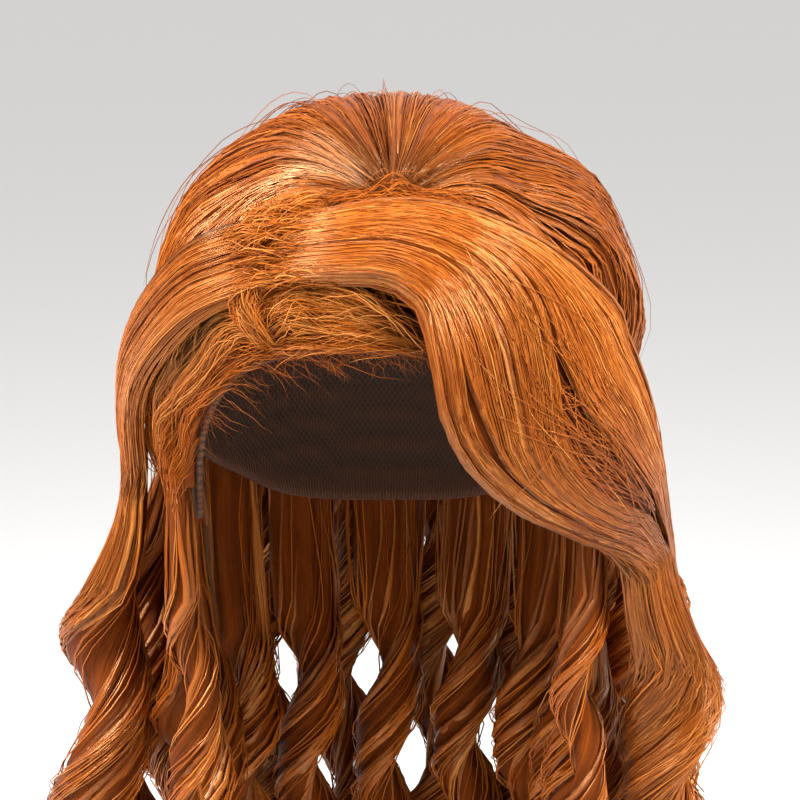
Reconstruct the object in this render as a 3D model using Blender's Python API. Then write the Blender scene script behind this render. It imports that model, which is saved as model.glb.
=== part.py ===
"""Long curly wig with a swept fringe, held up by its cap as a head holds it.

Metres, +Z up, the face opening looks along -Y and +X is on the viewer's right.
The origin is where the top of a head touches the inside of the cap.

All the hair near the head is placed on a map of the head: a direction from the head's
middle (a bearing round from the front, and a polar angle down from the top) and a
stand-off, which is the height above the inside of the cap.  Pieces that lie on each other
take different stand-offs, so they never meet.
"""

import bmesh
import bpy
import numpy as np

# The head that the cap is made for.
HEAD_WIDTH = 0.154
HEAD_LENGTH = 0.192
CROWN_HEIGHT = 0.095  # from the top of the head down to its widest level
LOWER_HEAD = 0.130  # how far below that level the head's lower half would close

# The cap.
CAP_WALL = 0.002
CAP_COLUMNS = 30
CAP_ROWS = 9

# The gap between the cap and the hair on it, and between that hair and the locks that
# rest on it, then the thickness of the hair on the cap.
LAYER_GAP = 0.0009
SEAT_GAP = 0.0004
FRONT_HAIR = 0.0095
SIDE_HAIR = 0.0095
BACK_HAIR = 0.019
ROLL_PUFF = 0.0045  # how much prouder the teased roll at the left temple stands
RIGHT_PUFF = 0.013  # how much prouder the crown swells behind the fringe
LEFT_PUFF = 0.006  # the same behind the sweep on the other side
LOCK_RELIEF = 0.0012  # half the depth of the grooves between the locks of the crown

# The flow of the hair on the cap: it springs from one point behind the fringe.
SOURCE_BEARING = 3.0
SOURCE_POLAR = 37.5
CROWN_EDGE_DROP = 0.120  # how far below the top of the head the crown hair ends
FRONT_BEARING = 62.0  # the hairline pieces reach this far round on both sides
FLOW_START = 0.03  # share of each flow line that is left open round the source
FRONT_START = 0.12  # the same for the hairline pieces, under the fringe's roots

# The swept fringe and the sweep on the other side, with their long curls.
FRINGE_WIDTH = 0.100
FRINGE_THICKNESS = 0.0120
FRINGE_RISE = 0.0055  # how far the fringe lifts off the hair under it, over the brow
SWEEP_WIDTH = 0.034
SWEEP_THICKNESS = 0.0090
SWEEP_RISE = 0.0042

# The long curls: a ring of large ones, and a ring of smaller ones under it.
BACK_CURL_DIAMETER = 0.041
BACK_CURL_DROP = 0.545
BACK_CURL_PITCH = 0.102
BACK_CURL_FROM = 110.0
NAPE_CURL_DIAMETER = 0.031
NAPE_CURL_DROP = 0.470
NAPE_CURL_PITCH = 0.086
NAPE_CURL_FROM = 86.0
FRONT_CURL_DIAMETER = 0.040
FRONT_CURL_DROP = 0.500
TEMPLE_CURL_DIAMETER = 0.021
TEMPLE_CURL_DROP = 0.330
TEMPLE_CURL_BEARING = 67.0
CURL_GAP = 0.0016
CURL_OPENING = 0.085  # length over which a flat lock opens into its curl
CURL_TAPER = 0.075  # length over which a curl narrows to its tip
CURL_STAGGER = 0.015  # step between the lengths of neighbouring curls
RING_STEP = 0.0135  # height between the sections of a curl
BODY_OFFSET = 0.40  # shares of a curl's radius: how far its body winds off its middle,
BODY_DEPTH = 0.58  # half the depth of the body
BODY_WIDTH = 0.84  # and half its width
TOP_SPREAD = 0.0175  # the inner side of the large curls stands off this far, once they hang free

NAPE_SHARE = 0.42  # share of the crown hair's thickness that the smaller curls hang from
NAPE_CLEAR_DROP = 0.164  # the smaller curls stay slim down to here, past the cap's nape

HAIR = (0.62, 0.235, 0.055, 1.0)
HAIR_SHADE = (0.50, 0.175, 0.040, 1.0)
CAP_NET = (0.10, 0.055, 0.035, 1.0)

HALF_WIDTH = HEAD_WIDTH / 2
HALF_LENGTH = HEAD_LENGTH / 2
HAIR_FLOOR = CAP_WALL + LAYER_GAP
FRONT_SEAT = HAIR_FLOOR + FRONT_HAIR + LOCK_RELIEF / 2 + SEAT_GAP

# The cap's edge, the same on both sides: bearing from the front, and polar angle.
CAP_EDGE = np.array(
    [  # bearing, polar
        (0, 68.5),
        (30, 71.0),
        (50, 81.0),
        (60, 92.0),
        (72, 108.0),
        (86, 105.0),
        (100, 102.0),
        (118, 107.0),
        (142, 115.0),
        (180, 118.5),
    ],
    float,
)

# The fringe, from its parting over the forehead to the side.  Width is a share of
# FRINGE_WIDTH, depth of FRINGE_THICKNESS, rise of FRINGE_RISE.
FRINGE = np.array(
    [  # bearing, polar, width, depth, rise
        (-26, 49.5, 0.15, 0.62, 0.00),
        (-12, 50.0, 0.22, 0.85, 0.04),
        (3, 51.0, 0.31, 1.00, 0.60),
        (15.5, 55.5, 0.45, 1.00, 1.00),
        (24.5, 64.0, 0.71, 1.00, 1.00),
        (32, 75.0, 0.96, 1.00, 0.95),
        (39, 84.5, 0.92, 1.00, 0.90),
        (50, 94.0, 0.74, 1.05, 0.95),
        (63, 103.0, 0.52, 1.20, 1.00),
    ],
    float,
)

# The sweep over the other temple, with its shares of SWEEP_WIDTH, SWEEP_THICKNESS and
# SWEEP_RISE.
SWEEP = np.array(
    [  # bearing, polar, width, depth, rise
        (-30, 50.0, 0.62, 0.60, 0.00),
        (-38, 54.0, 0.95, 0.90, 0.40),
        (-48, 59.0, 0.98, 1.00, 1.00),
        (-60, 67.0, 1.00, 1.00, 1.00),
        (-72, 77.0, 1.00, 1.00, 1.00),
        (-81, 88.0, 0.95, 1.05, 0.80),
        (-87, 101.0, 0.85, 1.10, 0.60),
    ],
    float,
)


def smooth(value, start, end):
    """0 before start, 1 after end, and a smooth rise between them."""
    share = np.clip((value - start) / (end - start), 0, 1)
    return share * share * (3 - 2 * share)


def direction(bearing, polar):
    """The unit direction at a bearing round from the front and a polar angle from the top."""
    turn, fall = np.radians(bearing), np.radians(polar)
    return np.stack(
        [np.sin(fall) * np.sin(turn), -np.sin(fall) * np.cos(turn), np.cos(fall)], -1
    )


def unit(vectors):
    return vectors / np.linalg.norm(vectors, axis=-1, keepdims=True)


def head_point(facing, stand_off):
    """The point at a direction and a stand-off: an ellipsoid, deeper below its widest level."""
    depth = np.where(facing[..., 2] >= 0, CROWN_HEIGHT, LOWER_HEAD)
    on_head = np.stack(
        [
            HALF_WIDTH * facing[..., 0],
            HALF_LENGTH * facing[..., 1],
            depth * facing[..., 2] - CROWN_HEIGHT,
        ],
        -1,
    )
    normal = np.stack(
        [facing[..., 0] / HALF_WIDTH, facing[..., 1] / HALF_LENGTH, facing[..., 2] / depth], -1
    )
    return on_head + unit(normal) * np.asarray(stand_off)[..., None]


def head_direction(point):
    """The direction whose point on the head is nearest in line with the one given."""
    height = point[..., 2] + CROWN_HEIGHT
    depth = np.where(height >= 0, CROWN_HEIGHT, LOWER_HEAD)
    return unit(
        np.stack([point[..., 0] / HALF_WIDTH, point[..., 1] / HALF_LENGTH, height / depth], -1)
    )


def polar_at_drop(drop):
    """The polar angle of the head's surface, drop below its top and below its widest level."""
    return np.degrees(np.arccos((CROWN_HEIGHT - drop) / LOWER_HEAD))


def cap_edge(bearing):
    """The polar angle of the cap's edge, smoothly through the table."""
    around = np.abs((np.asarray(bearing, float) + 180) % 360 - 180)
    bend = np.gradient(CAP_EDGE[:, 1], CAP_EDGE[:, 0])
    bend[[0, -1]] = 0
    at = np.clip(np.searchsorted(CAP_EDGE[:, 0], around, side="right") - 1, 0, len(CAP_EDGE) - 2)
    width = CAP_EDGE[at + 1, 0] - CAP_EDGE[at, 0]
    t = (around - CAP_EDGE[at, 0]) / width
    return (
        (2 * t**3 - 3 * t**2 + 1) * CAP_EDGE[at, 1]
        + (t**3 - 2 * t**2 + t) * width * bend[at]
        + (3 * t**2 - 2 * t**3) * CAP_EDGE[at + 1, 1]
        + (t**3 - t**2) * width * bend[at + 1]
    )


def flow(end_bearing, share):
    """The direction at a share of the flow line that ends at a bearing on the hair's edge.

    Each line is a curve of three directions: the source, one high on the head above the
    line's end, and the end, so the hair leaves the source sideways and falls straight.
    """
    around = np.abs((end_bearing + 180) % 360 - 180)
    end_polar = np.minimum(cap_edge(end_bearing) - 0.6, polar_at_drop(CROWN_EDGE_DROP))
    middle_polar = 34 + 19 * np.cos(np.radians(np.minimum(around * 1.2, 90)))
    source = direction(SOURCE_BEARING, SOURCE_POLAR)
    middle = direction(end_bearing, middle_polar)
    end = direction(end_bearing, end_polar)
    share = np.asarray(share)[..., None]
    return unit((1 - share) ** 2 * source + 2 * share * (1 - share) * middle + share**2 * end)


def new_material(name, colour, roughness):
    material = bpy.data.materials.new(name)
    material.use_nodes = True
    shader = material.node_tree.nodes["Principled BSDF"]
    shader.inputs["Base Color"].default_value = colour
    shader.inputs["Roughness"].default_value = roughness
    material.diffuse_color = colour
    return material


def add_object(name, points, faces, material):
    """A mesh object of these points and faces, turned outwards, smooth and on the wig's empty."""
    mesh = bpy.data.meshes.new(name)
    mesh.from_pydata([tuple(p) for p in points], [], [tuple(map(int, f)) for f in faces])
    shape = bmesh.new()
    shape.from_mesh(mesh)
    bmesh.ops.recalc_face_normals(shape, faces=shape.faces)
    shape.to_mesh(mesh)
    shape.free()
    mesh.shade_smooth()
    mesh.set_sharp_from_angle(angle=np.radians(50))
    mesh.materials.append(material)
    made = bpy.data.objects.new(name, mesh)
    bpy.context.scene.collection.objects.link(made)
    made.parent = wig
    return made


def grid_faces(rows, columns, offset=0, closed=False):
    """Quads between rows of points; closed joins the last column to the first."""
    steps = columns if closed else columns - 1
    row, column = np.meshgrid(np.arange(rows - 1), np.arange(steps), indexing="ij")
    beside = (column + 1) % columns
    corners = np.stack(
        [
            row * columns + column,
            row * columns + beside,
            (row + 1) * columns + beside,
            (row + 1) * columns + column,
        ],
        -1,
    )
    return corners.reshape(-1, 4) + offset


def loft(name, rings, material):
    """One closed body through rings of points, with flat ends."""
    count, sides = rings.shape[:2]
    ends = [np.arange(sides)[::-1], np.arange(sides) + (count - 1) * sides]
    faces = [*grid_faces(count, sides, closed=True), *ends]
    return add_object(name, rings.reshape(-1, 3), faces, material)


def shell(name, inner, outer, material):
    """One closed body between two grids of points that lie on each other."""
    rows, columns = inner.shape[:2]
    edge = np.concatenate(
        [
            np.arange(columns),
            np.arange(1, rows) * columns + columns - 1,
            (rows - 1) * columns + np.arange(columns - 2, -1, -1),
            np.arange(rows - 2, 0, -1) * columns,
        ]
    )
    size = rows * columns
    beside = np.roll(edge, -1)
    walls = np.stack([edge, beside, beside + size, edge + size], -1)
    faces = [*grid_faces(rows, columns), *grid_faces(rows, columns, size), *walls]
    points = np.concatenate([inner.reshape(-1, 3), outer.reshape(-1, 3)])
    return add_object(name, points, faces, material)


def make_cap():
    """The cap: one open dome of net, from the top of the head to its edge."""
    bearing = np.arange(CAP_COLUMNS) * 360 / CAP_COLUMNS
    share = np.linspace(0, 1, CAP_ROWS + 1)[1:, None]
    rows = head_point(direction(bearing[None] + 0 * share, cap_edge(bearing) * share), 0 * share)
    points = np.concatenate([rows.reshape(-1, 3), head_point(direction(0.0, 0.0), 0.0)[None]])
    top = len(points) - 1
    first = np.arange(CAP_COLUMNS)
    fan = [(top, a, b) for a, b in zip(first, np.roll(first, -1))]
    faces = [*fan, *grid_faces(CAP_ROWS, CAP_COLUMNS, closed=True)]
    cap = add_object("cap", points, faces, cap_material)
    wall = cap.modifiers.new("net wall", "SOLIDIFY")
    wall.thickness = CAP_WALL
    wall.offset = 1
    return cap


def make_hairline(name, first, last, columns, puff):
    """Short hair that is brushed up from the cap's front edge, under the fringe."""
    bearing = np.linspace(first, last, columns)[None]
    share = np.linspace(FRONT_START, 1, 9)[:, None]
    facing = flow(bearing + 0 * share, share + 0 * bearing)
    rounded = np.sqrt(1 - smooth(share, 0.55, 1.0) * 0.93)
    height = FRONT_HAIR * (0.55 + 0.45 * smooth(share, 0.05, 0.24)) * rounded
    roll = puff * smooth(share, 0.66, 0.82) * (1 - smooth(share, 0.88, 1.0))
    ridges = LOCK_RELIEF * 0.5 * np.cos(np.pi * np.arange(columns))[None] * smooth(share, 0.3, 0.6)
    inner = head_point(facing, HAIR_FLOOR + 0 * share * bearing)
    outer = head_point(facing, HAIR_FLOOR + height + roll + ridges * rounded)
    return shell(name, inner, outer, shade_material)


def crown_thickness(bearing):
    """Thin in front of the ears, where the fringe lies on it, and full behind them."""
    around = np.abs((bearing + 180) % 360 - 180)
    return SIDE_HAIR + (BACK_HAIR - SIDE_HAIR) * smooth(around, 94, 122)


def crown_puff(facing, share):
    """How far the crown swells behind the fringe and the sweep, more behind the fringe."""
    turn = np.degrees(np.arctan2(facing[..., 0], -facing[..., 1]))
    fall = np.degrees(np.arccos(facing[..., 2]))
    around = np.abs(turn)
    right = RIGHT_PUFF * smooth(around - 0.9 * np.maximum(fall - 58, 0), 56, 76)
    left = LEFT_PUFF * smooth(around - 1.25 * np.maximum(fall - 58, 0), 66, 84)
    swell = np.where(turn > 0, right, left) * (1 - smooth(around, 98, 140)) * smooth(fall, 28, 54)
    return swell * smooth(share, 0.2, 0.45) * (1 - smooth(share, 0.76, 0.98))


def make_crown():
    """The hair that springs from the source and covers the top, the sides and the back."""
    columns = 37
    start = FRONT_BEARING + 1.5
    bearing = np.linspace(start, 360 - start, columns)[None]
    share = np.concatenate([np.linspace(FLOW_START, 0.9, 10), [1.0]])[:, None]
    facing = flow(bearing + 0 * share, share + 0 * bearing)
    grooves = np.cos(2 * np.pi * np.arange(columns) / 3)[None]
    height = crown_thickness(bearing) * (0.5 + 0.5 * smooth(share, 0.1, 0.35))
    relief = LOCK_RELIEF * grooves * smooth(share, 0.15, 0.5)
    inner = head_point(facing, HAIR_FLOOR + 0 * share * bearing)
    outer = head_point(facing, HAIR_FLOOR + height + relief + crown_puff(facing, share))
    inner[-1, :, 2] = -CROWN_EDGE_DROP
    outer[-1, :, 2] = -CROWN_EDGE_DROP
    return shell("crown_hair", inner, outer, hair_material)


def through(table, steps):
    """The table's rows read from one smooth curve through them, steps to each row."""
    count = len(table)
    at = np.linspace(0, count - 1, (count - 1) * steps + 1)
    row = np.minimum(at.astype(int), count - 2)
    t = (at - row)[:, None]
    padded = np.concatenate([2 * table[:1] - table[1:2], table, 2 * table[-1:] - table[-2:-1]])
    a, b, c, d = (padded[row + k] for k in range(4))
    return 0.5 * (
        2 * b + (c - a) * t + (2 * a - 5 * b + 4 * c - d) * t**2 + (3 * b - a - 3 * c + d) * t**3
    )


def section(sides):
    """Across and up shares of a section with full sides, as a flattened round."""
    angle = (np.arange(sides) + 0.5) * 2 * np.pi / sides
    across = np.sign(np.cos(angle)) * np.abs(np.cos(angle)) ** 0.8
    up = np.sign(np.sin(angle)) * np.abs(np.sin(angle)) ** 0.7
    return across, up


def swept_rings(rows, width, depth, sides):
    """Sections of hair that lies on the head, which follow its curve from edge to edge."""
    facing = direction(rows[:, 0], rows[:, 1])
    middle = head_point(facing, rows[:, 4])
    outward = unit(middle - head_point(facing, 0 * rows[:, 4]))
    along = unit(np.gradient(middle, axis=0))
    beside = unit(np.cross(along, outward))
    across, up = section(sides)
    half_width = rows[:, 2, None, None] * width / 2
    spread = middle[:, None] + beside[:, None] * across[None, :, None] * half_width
    height = rows[:, 4, None] + up[None] * rows[:, 3, None] * depth / 2
    return head_point(head_direction(spread), height)


def curl_rings(bearing, top, tip, inner, outer, half_width, radius, pitch, hang, sides, slim=None):
    """Level sections of a curl that hangs from top to tip.

    At its top the curl is a flat band between the stand-offs inner and outer.  Below slim
    it opens into a corkscrew of the radius given, whose nearer side stands off by hang.
    """
    slim = top if slim is None else slim
    drop = np.append(np.arange(top, tip - RING_STEP / 2, RING_STEP), tip)
    opening = smooth(drop, slim, slim + CURL_OPENING)
    end = 1 - 0.82 * smooth(drop, tip - CURL_TAPER, tip)
    reach = ((outer - inner) / 2 * (1 - opening) + radius * opening) * end
    near = inner * (1 - opening) + hang * opening
    stand_off = near + reach / end
    turn = 2 * np.pi * np.maximum(drop - slim - CURL_OPENING / 2, 0) / pitch
    wide = (half_width * (1 - opening) + BODY_WIDTH * radius * opening) * end
    deep = reach * (1 - (1 - BODY_DEPTH) * opening)
    angle = (np.arange(sides) + 0.5) * 2 * np.pi / sides
    out = BODY_OFFSET * reach * opening
    local_out = out[:, None] + deep[:, None] * np.sin(angle)[None]
    local_side = wide[:, None] * np.cos(angle)[None]
    cos, sin = np.cos(turn)[:, None], np.sin(turn)[:, None]
    radial = local_out * cos - local_side * sin
    beside = local_out * sin + local_side * cos
    around = np.radians(bearing)
    outward = np.array([np.sin(around), -np.cos(around)])
    clockwise = np.array([-np.cos(around), -np.sin(around)])
    axis = np.array([HALF_WIDTH, HALF_LENGTH]) * outward + stand_off[:, None] * outward
    flat = axis[:, None] + radial[..., None] * outward + beside[..., None] * clockwise
    level = np.broadcast_to(-drop[:, None, None], (*radial.shape, 1))
    return np.concatenate([flat, level], -1)


def make_swept(name, table, width, depth, rise, curl_bearing, sides):
    """A swept lock that lies on the head and goes on as a long curl beside the face."""
    rows = through(table, 2)
    rows[:, 4] = FRONT_SEAT + rows[:, 4] * rise + rows[:, 3] * depth / 2
    lying = swept_rings(rows, width, depth, sides)
    last_depth = rows[-1, 3] * depth
    inner = rows[-1, 4] - last_depth / 2
    curl = curl_rings(
        curl_bearing,
        RING_STEP / 2 - lying[-1, :, 2].min(),
        FRONT_CURL_DROP,
        inner,
        inner + last_depth,
        rows[-1, 2] * width / 2,
        FRONT_CURL_DIAMETER / 2,
        BACK_CURL_PITCH,
        TOP_SPREAD,
        sides,
    )
    return loft(name, np.concatenate([lying, curl]), hair_material)


def oval(bearings, stand_off):
    """Level points at these bearings, that stand off from the head's widest outline."""
    turn = np.radians(bearings)
    wide, long = HALF_WIDTH + stand_off, HALF_LENGTH + stand_off
    return np.stack([wide * np.sin(turn), -long * np.cos(turn)], -1)


def ring_bearings(first, stand_off, diameter):
    """Bearings for as many curls as fit side by side, from first round the back."""
    fine = np.linspace(first, 360 - first, 721)
    steps = np.linalg.norm(np.diff(oval(fine, stand_off), axis=0), axis=1)
    along = np.concatenate([[0], np.cumsum(steps)])
    count = int(along[-1] / (diameter + CURL_GAP)) + 1
    return np.interp(np.linspace(0, along[-1], count), along, fine)


def room_beside(bearings, stand_off):
    """Half the width that each curl can have where its neighbours stand off as it does."""
    apart = np.linalg.norm(np.diff(oval(bearings, stand_off), axis=0), axis=1)
    nearest = np.minimum(np.append(apart, apart[-1]), np.append(apart[0], apart))
    return (nearest - CURL_GAP) / 2


def make_back_curls():
    """Large curls that hang from the outer part of the crown hair."""
    radius = BACK_CURL_DIAMETER / 2
    bearings = ring_bearings(BACK_CURL_FROM, TOP_SPREAD + radius, BACK_CURL_DIAMETER)
    thickness = crown_thickness(bearings)
    inner = HAIR_FLOOR + thickness * NAPE_SHARE + LAYER_GAP / 2
    outer = HAIR_FLOOR + thickness - LOCK_RELIEF
    half_width = room_beside(bearings, inner.min())
    for number, bearing in enumerate(bearings):
        rings = curl_rings(
            bearing,
            CROWN_EDGE_DROP + LAYER_GAP / 2,
            BACK_CURL_DROP - CURL_STAGGER * (2 * (number % 3 == 1) + number % 2),
            inner[number],
            outer[number],
            half_width[number],
            radius,
            BACK_CURL_PITCH * (1 + 0.10 * np.sin(2.1 * number)),
            TOP_SPREAD,
            6,
        )
        loft(f"back_curl_{number + 1:02d}", rings, hair_material)


def make_nape_curls():
    """Smaller curls under the large ones, slim past the cap's nape and open below it."""
    radius = NAPE_CURL_DIAMETER / 2
    hang = TOP_SPREAD - CURL_GAP - 2 * radius
    bearings = ring_bearings(NAPE_CURL_FROM, hang + radius, NAPE_CURL_DIAMETER)
    outer = HAIR_FLOOR + crown_thickness(bearings) * NAPE_SHARE - LAYER_GAP / 2
    half_width = room_beside(bearings, HAIR_FLOOR)
    for number, bearing in enumerate(bearings):
        rings = curl_rings(
            bearing,
            CROWN_EDGE_DROP + LAYER_GAP / 2,
            NAPE_CURL_DROP - CURL_STAGGER * (number % 2),
            HAIR_FLOOR,
            outer[number],
            half_width[number],
            radius,
            NAPE_CURL_PITCH * (1 + 0.10 * np.sin(1.7 * number + 1)),
            hang,
            6,
            slim=NAPE_CLEAR_DROP,
        )
        loft(f"nape_curl_{number + 1:02d}", rings, shade_material)


def make_temple_curls():
    """A slim curl in front of each ear."""
    radius = TEMPLE_CURL_DIAMETER / 2
    for name, bearing in (("left", -TEMPLE_CURL_BEARING), ("right", TEMPLE_CURL_BEARING)):
        rings = curl_rings(
            bearing,
            CROWN_EDGE_DROP + LAYER_GAP / 2,
            TEMPLE_CURL_DROP,
            HAIR_FLOOR,
            HAIR_FLOOR + SIDE_HAIR - LOCK_RELIEF,
            TEMPLE_CURL_DIAMETER * 0.35,
            radius,
            NAPE_CURL_PITCH * 0.85,
            HAIR_FLOOR - radius,
            6,
        )
        loft(f"temple_curl_{name}", rings, hair_material)


for old in list(bpy.data.objects):
    bpy.data.objects.remove(old)

wig = bpy.data.objects.new("wig", None)
bpy.context.scene.collection.objects.link(wig)
hair_material = new_material("hair", HAIR, 0.38)
shade_material = new_material("hair_under", HAIR_SHADE, 0.5)
cap_material = new_material("cap_net", CAP_NET, 0.85)

make_cap()
make_crown()
make_hairline("hairline_left", -FRONT_BEARING, -21.0, 8, ROLL_PUFF)
make_hairline("hairline_centre", -19.0, 18.0, 8, 0.0)
make_hairline("hairline_right", 20.0, FRONT_BEARING, 8, 0.0)
make_swept("fringe_swoop", FRINGE, FRINGE_WIDTH, FRINGE_THICKNESS, FRINGE_RISE, 77.0, 12)
make_swept("left_sweep", SWEEP, SWEEP_WIDTH, SWEEP_THICKNESS, SWEEP_RISE, -90.0, 8)
make_back_curls()
make_nape_curls()
make_temple_curls()
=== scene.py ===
# %% [markdown]
# # A long curly wig with a swept fringe
#
# This lesson dresses a plain model of a wig: a net cap, shells and locks of hair, and a
# ring of corkscrew curls.  The plain model gives every piece its place and its size.
# Here each piece of hair is made again out of what hair is made of: thousands of fine
# strands that lie on a body painted darker, as shade.  Nothing is moved, so the dressed
# wig fits the plain one exactly.

import bpy
import numpy as np
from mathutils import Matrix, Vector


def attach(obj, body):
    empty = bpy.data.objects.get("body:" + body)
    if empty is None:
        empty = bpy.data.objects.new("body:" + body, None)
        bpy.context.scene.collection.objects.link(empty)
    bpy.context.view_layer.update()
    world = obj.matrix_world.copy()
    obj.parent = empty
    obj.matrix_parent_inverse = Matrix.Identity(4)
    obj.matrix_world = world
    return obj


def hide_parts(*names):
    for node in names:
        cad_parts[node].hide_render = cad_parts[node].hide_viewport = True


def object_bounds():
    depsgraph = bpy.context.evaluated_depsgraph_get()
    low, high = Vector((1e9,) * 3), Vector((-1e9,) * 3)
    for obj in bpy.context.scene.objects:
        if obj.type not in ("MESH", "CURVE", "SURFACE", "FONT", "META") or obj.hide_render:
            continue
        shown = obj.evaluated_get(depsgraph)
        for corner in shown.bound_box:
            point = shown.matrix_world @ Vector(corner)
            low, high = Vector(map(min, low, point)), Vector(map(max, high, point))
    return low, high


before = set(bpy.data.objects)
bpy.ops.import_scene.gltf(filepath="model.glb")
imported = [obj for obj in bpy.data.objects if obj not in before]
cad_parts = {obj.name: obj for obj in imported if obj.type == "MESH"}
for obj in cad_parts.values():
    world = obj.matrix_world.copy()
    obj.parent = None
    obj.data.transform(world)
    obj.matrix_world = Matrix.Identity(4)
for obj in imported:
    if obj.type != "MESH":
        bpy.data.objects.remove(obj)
cad_low, cad_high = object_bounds()
print("plain model", [round(v, 3) for v in cad_high - cad_low], "m")

# %% [markdown]
# ## The camera
#
# The picture looks slightly down at the brow from straight ahead.  A long lens at 0.9 m
# keeps the fringe from looming.  The camera only needs a place, a tilt and a lens.

# %% Place the camera
CAMERA_PLACE = (0.00525, -0.97323, 0.11076)
CAMERA_TILT = 12.0  # degrees below level
CAMERA_LENS = 115.7  # mm, on a 36 mm sensor

lens = bpy.data.cameras.new("brow_camera")
lens.sensor_width = 36
lens.lens = CAMERA_LENS
lens.clip_start = 0.05
camera = bpy.data.objects.new("brow_camera", lens)
bpy.context.scene.collection.objects.link(camera)
camera.location = CAMERA_PLACE
camera.rotation_euler = (np.radians(90 - CAMERA_TILT), 0, 0)
bpy.context.scene.camera = camera

# %% [markdown]
# ## A map of the head
#
# Hair is easiest to place on a map.  A direction from the middle of the head (a bearing
# round from the front and a polar angle down from the top) picks a place, and a lift
# above the inside of the cap picks how deep in the hair it is.  The head is an
# ellipsoid that is deeper below its widest level than above it.

# %% The sizes of the head, the cap and the hair, in metres
HALF_WIDTH, HALF_LENGTH = 0.077, 0.096
CROWN_HEIGHT, LOWER_HEAD = 0.095, 0.130
CAP_WALL = 0.002
HAIR_FLOOR = 0.0029
FRONT_HAIR, SIDE_HAIR, BACK_HAIR = 0.0095, 0.0095, 0.019
ROLL_PUFF, RIGHT_PUFF, LEFT_PUFF = 0.0045, 0.013, 0.006
LOCK_RELIEF = 0.0012
FRONT_SEAT = HAIR_FLOOR + FRONT_HAIR + LOCK_RELIEF / 2 + 0.0004
SOURCE_BEARING, SOURCE_POLAR = 3.0, 37.5
CROWN_EDGE_DROP = 0.120
FRONT_BEARING = 62.0

CAP_EDGE = np.array([  # bearing, polar angle
    (0, 68.5), (30, 71.0), (50, 81.0), (60, 92.0), (72, 108.0),
    (86, 105.0), (100, 102.0), (118, 107.0), (142, 115.0), (180, 118.5),
])


# %% Shares and steps
def smooth(value, start, end):
    """0 before start, 1 after end, and between them 3 t squared less 2 t cubed."""
    share = np.clip((value - start) / (end - start), 0, 1)
    return share * share * (3 - 2 * share)


def between(ends, share):
    """The value at a share of the way from the first end to the last."""
    return ends[0] + (ends[-1] - ends[0]) * share


def column(stations):
    """Even shares from 0 to 1 as a column, one for each station."""
    return np.linspace(0, 1, stations)[:, None]


def row_and_rest(at, last):
    """The whole row at or before each place, and the rest of the way to the next row."""
    row = np.minimum(at.astype(int), last - 1)
    return row, at - row


# %% Points on the map
def unit(vectors):
    """Each vector over its own length."""
    return vectors / np.maximum(np.linalg.norm(vectors, axis=-1, keepdims=True), 1e-12)


def direction(bearing, polar):
    """(sin polar sin bearing, -sin polar cos bearing, cos polar)."""
    turn, fall = np.radians(bearing), np.radians(polar)
    return np.stack([np.sin(fall) * np.sin(turn), -np.sin(fall) * np.cos(turn), np.cos(fall)], -1)


def map_angles(facing):
    """The bearing and the polar angle of a direction, in degrees."""
    turn = np.degrees(np.arctan2(facing[..., 0], -facing[..., 1]))
    return turn, np.degrees(np.arccos(np.clip(facing[..., 2], -1, 1)))


def head_axes(height):
    """Half the width, half the length, and the depth above or below the widest level."""
    depth = np.where(height >= 0, CROWN_HEIGHT, LOWER_HEAD)
    return np.stack([HALF_WIDTH + 0 * depth, HALF_LENGTH + 0 * depth, depth], -1)


def head_normal(facing):
    """The ellipsoid's outward direction: the map's direction over the half axes."""
    return unit(facing / head_axes(facing[..., 2]))


def head_point(facing, lift):
    """The ellipsoid's point in this direction, raised by lift along its normal."""
    on_head = facing * head_axes(facing[..., 2]) - (0, 0, CROWN_HEIGHT)
    return on_head + head_normal(facing) * np.asarray(lift)[..., None]


def head_direction(point):
    """The map's direction under a point: each coordinate over its half axis."""
    raised = point + (0, 0, CROWN_HEIGHT)
    return unit(raised / head_axes(raised[..., 2]))


def cap_edge(bearing):
    """The polar angle of the cap's edge: cubics through the table, level at both ends."""
    around = np.abs((np.asarray(bearing, float) + 180) % 360 - 180)
    bend = np.gradient(CAP_EDGE[:, 1], CAP_EDGE[:, 0])
    bend[[0, -1]] = 0
    at = np.clip(np.searchsorted(CAP_EDGE[:, 0], around, side="right") - 1, 0, len(CAP_EDGE) - 2)
    width = CAP_EDGE[at + 1, 0] - CAP_EDGE[at, 0]
    t = (around - CAP_EDGE[at, 0]) / width
    return (
        (2 * t**3 - 3 * t**2 + 1) * CAP_EDGE[at, 1]
        + (t**3 - 2 * t**2 + t) * width * bend[at]
        + (3 * t**2 - 2 * t**3) * CAP_EDGE[at + 1, 1]
        + (t**3 - t**2) * width * bend[at + 1]
    )


def flow(end_bearing, share):
    """Where hair of the crown lies: a curve of three directions.

    They are the source behind the fringe, one high on the head above the end, and the end
    on the hair's lower edge, weighed (1 - t) squared, 2 t (1 - t) and t squared.
    """
    around = np.abs((end_bearing + 180) % 360 - 180)
    lowest = np.degrees(np.arccos((CROWN_HEIGHT - CROWN_EDGE_DROP) / LOWER_HEAD))
    end_polar = np.minimum(cap_edge(end_bearing) - 0.6, lowest)
    middle_polar = 34 + 19 * np.cos(np.radians(np.minimum(around * 1.2, 90)))
    source = direction(SOURCE_BEARING, SOURCE_POLAR)
    middle = direction(end_bearing, middle_polar)
    end = direction(end_bearing, end_polar)
    share = np.asarray(share)[..., None]
    return unit((1 - share) ** 2 * source + 2 * share * (1 - share) * middle + share**2 * end)
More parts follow.
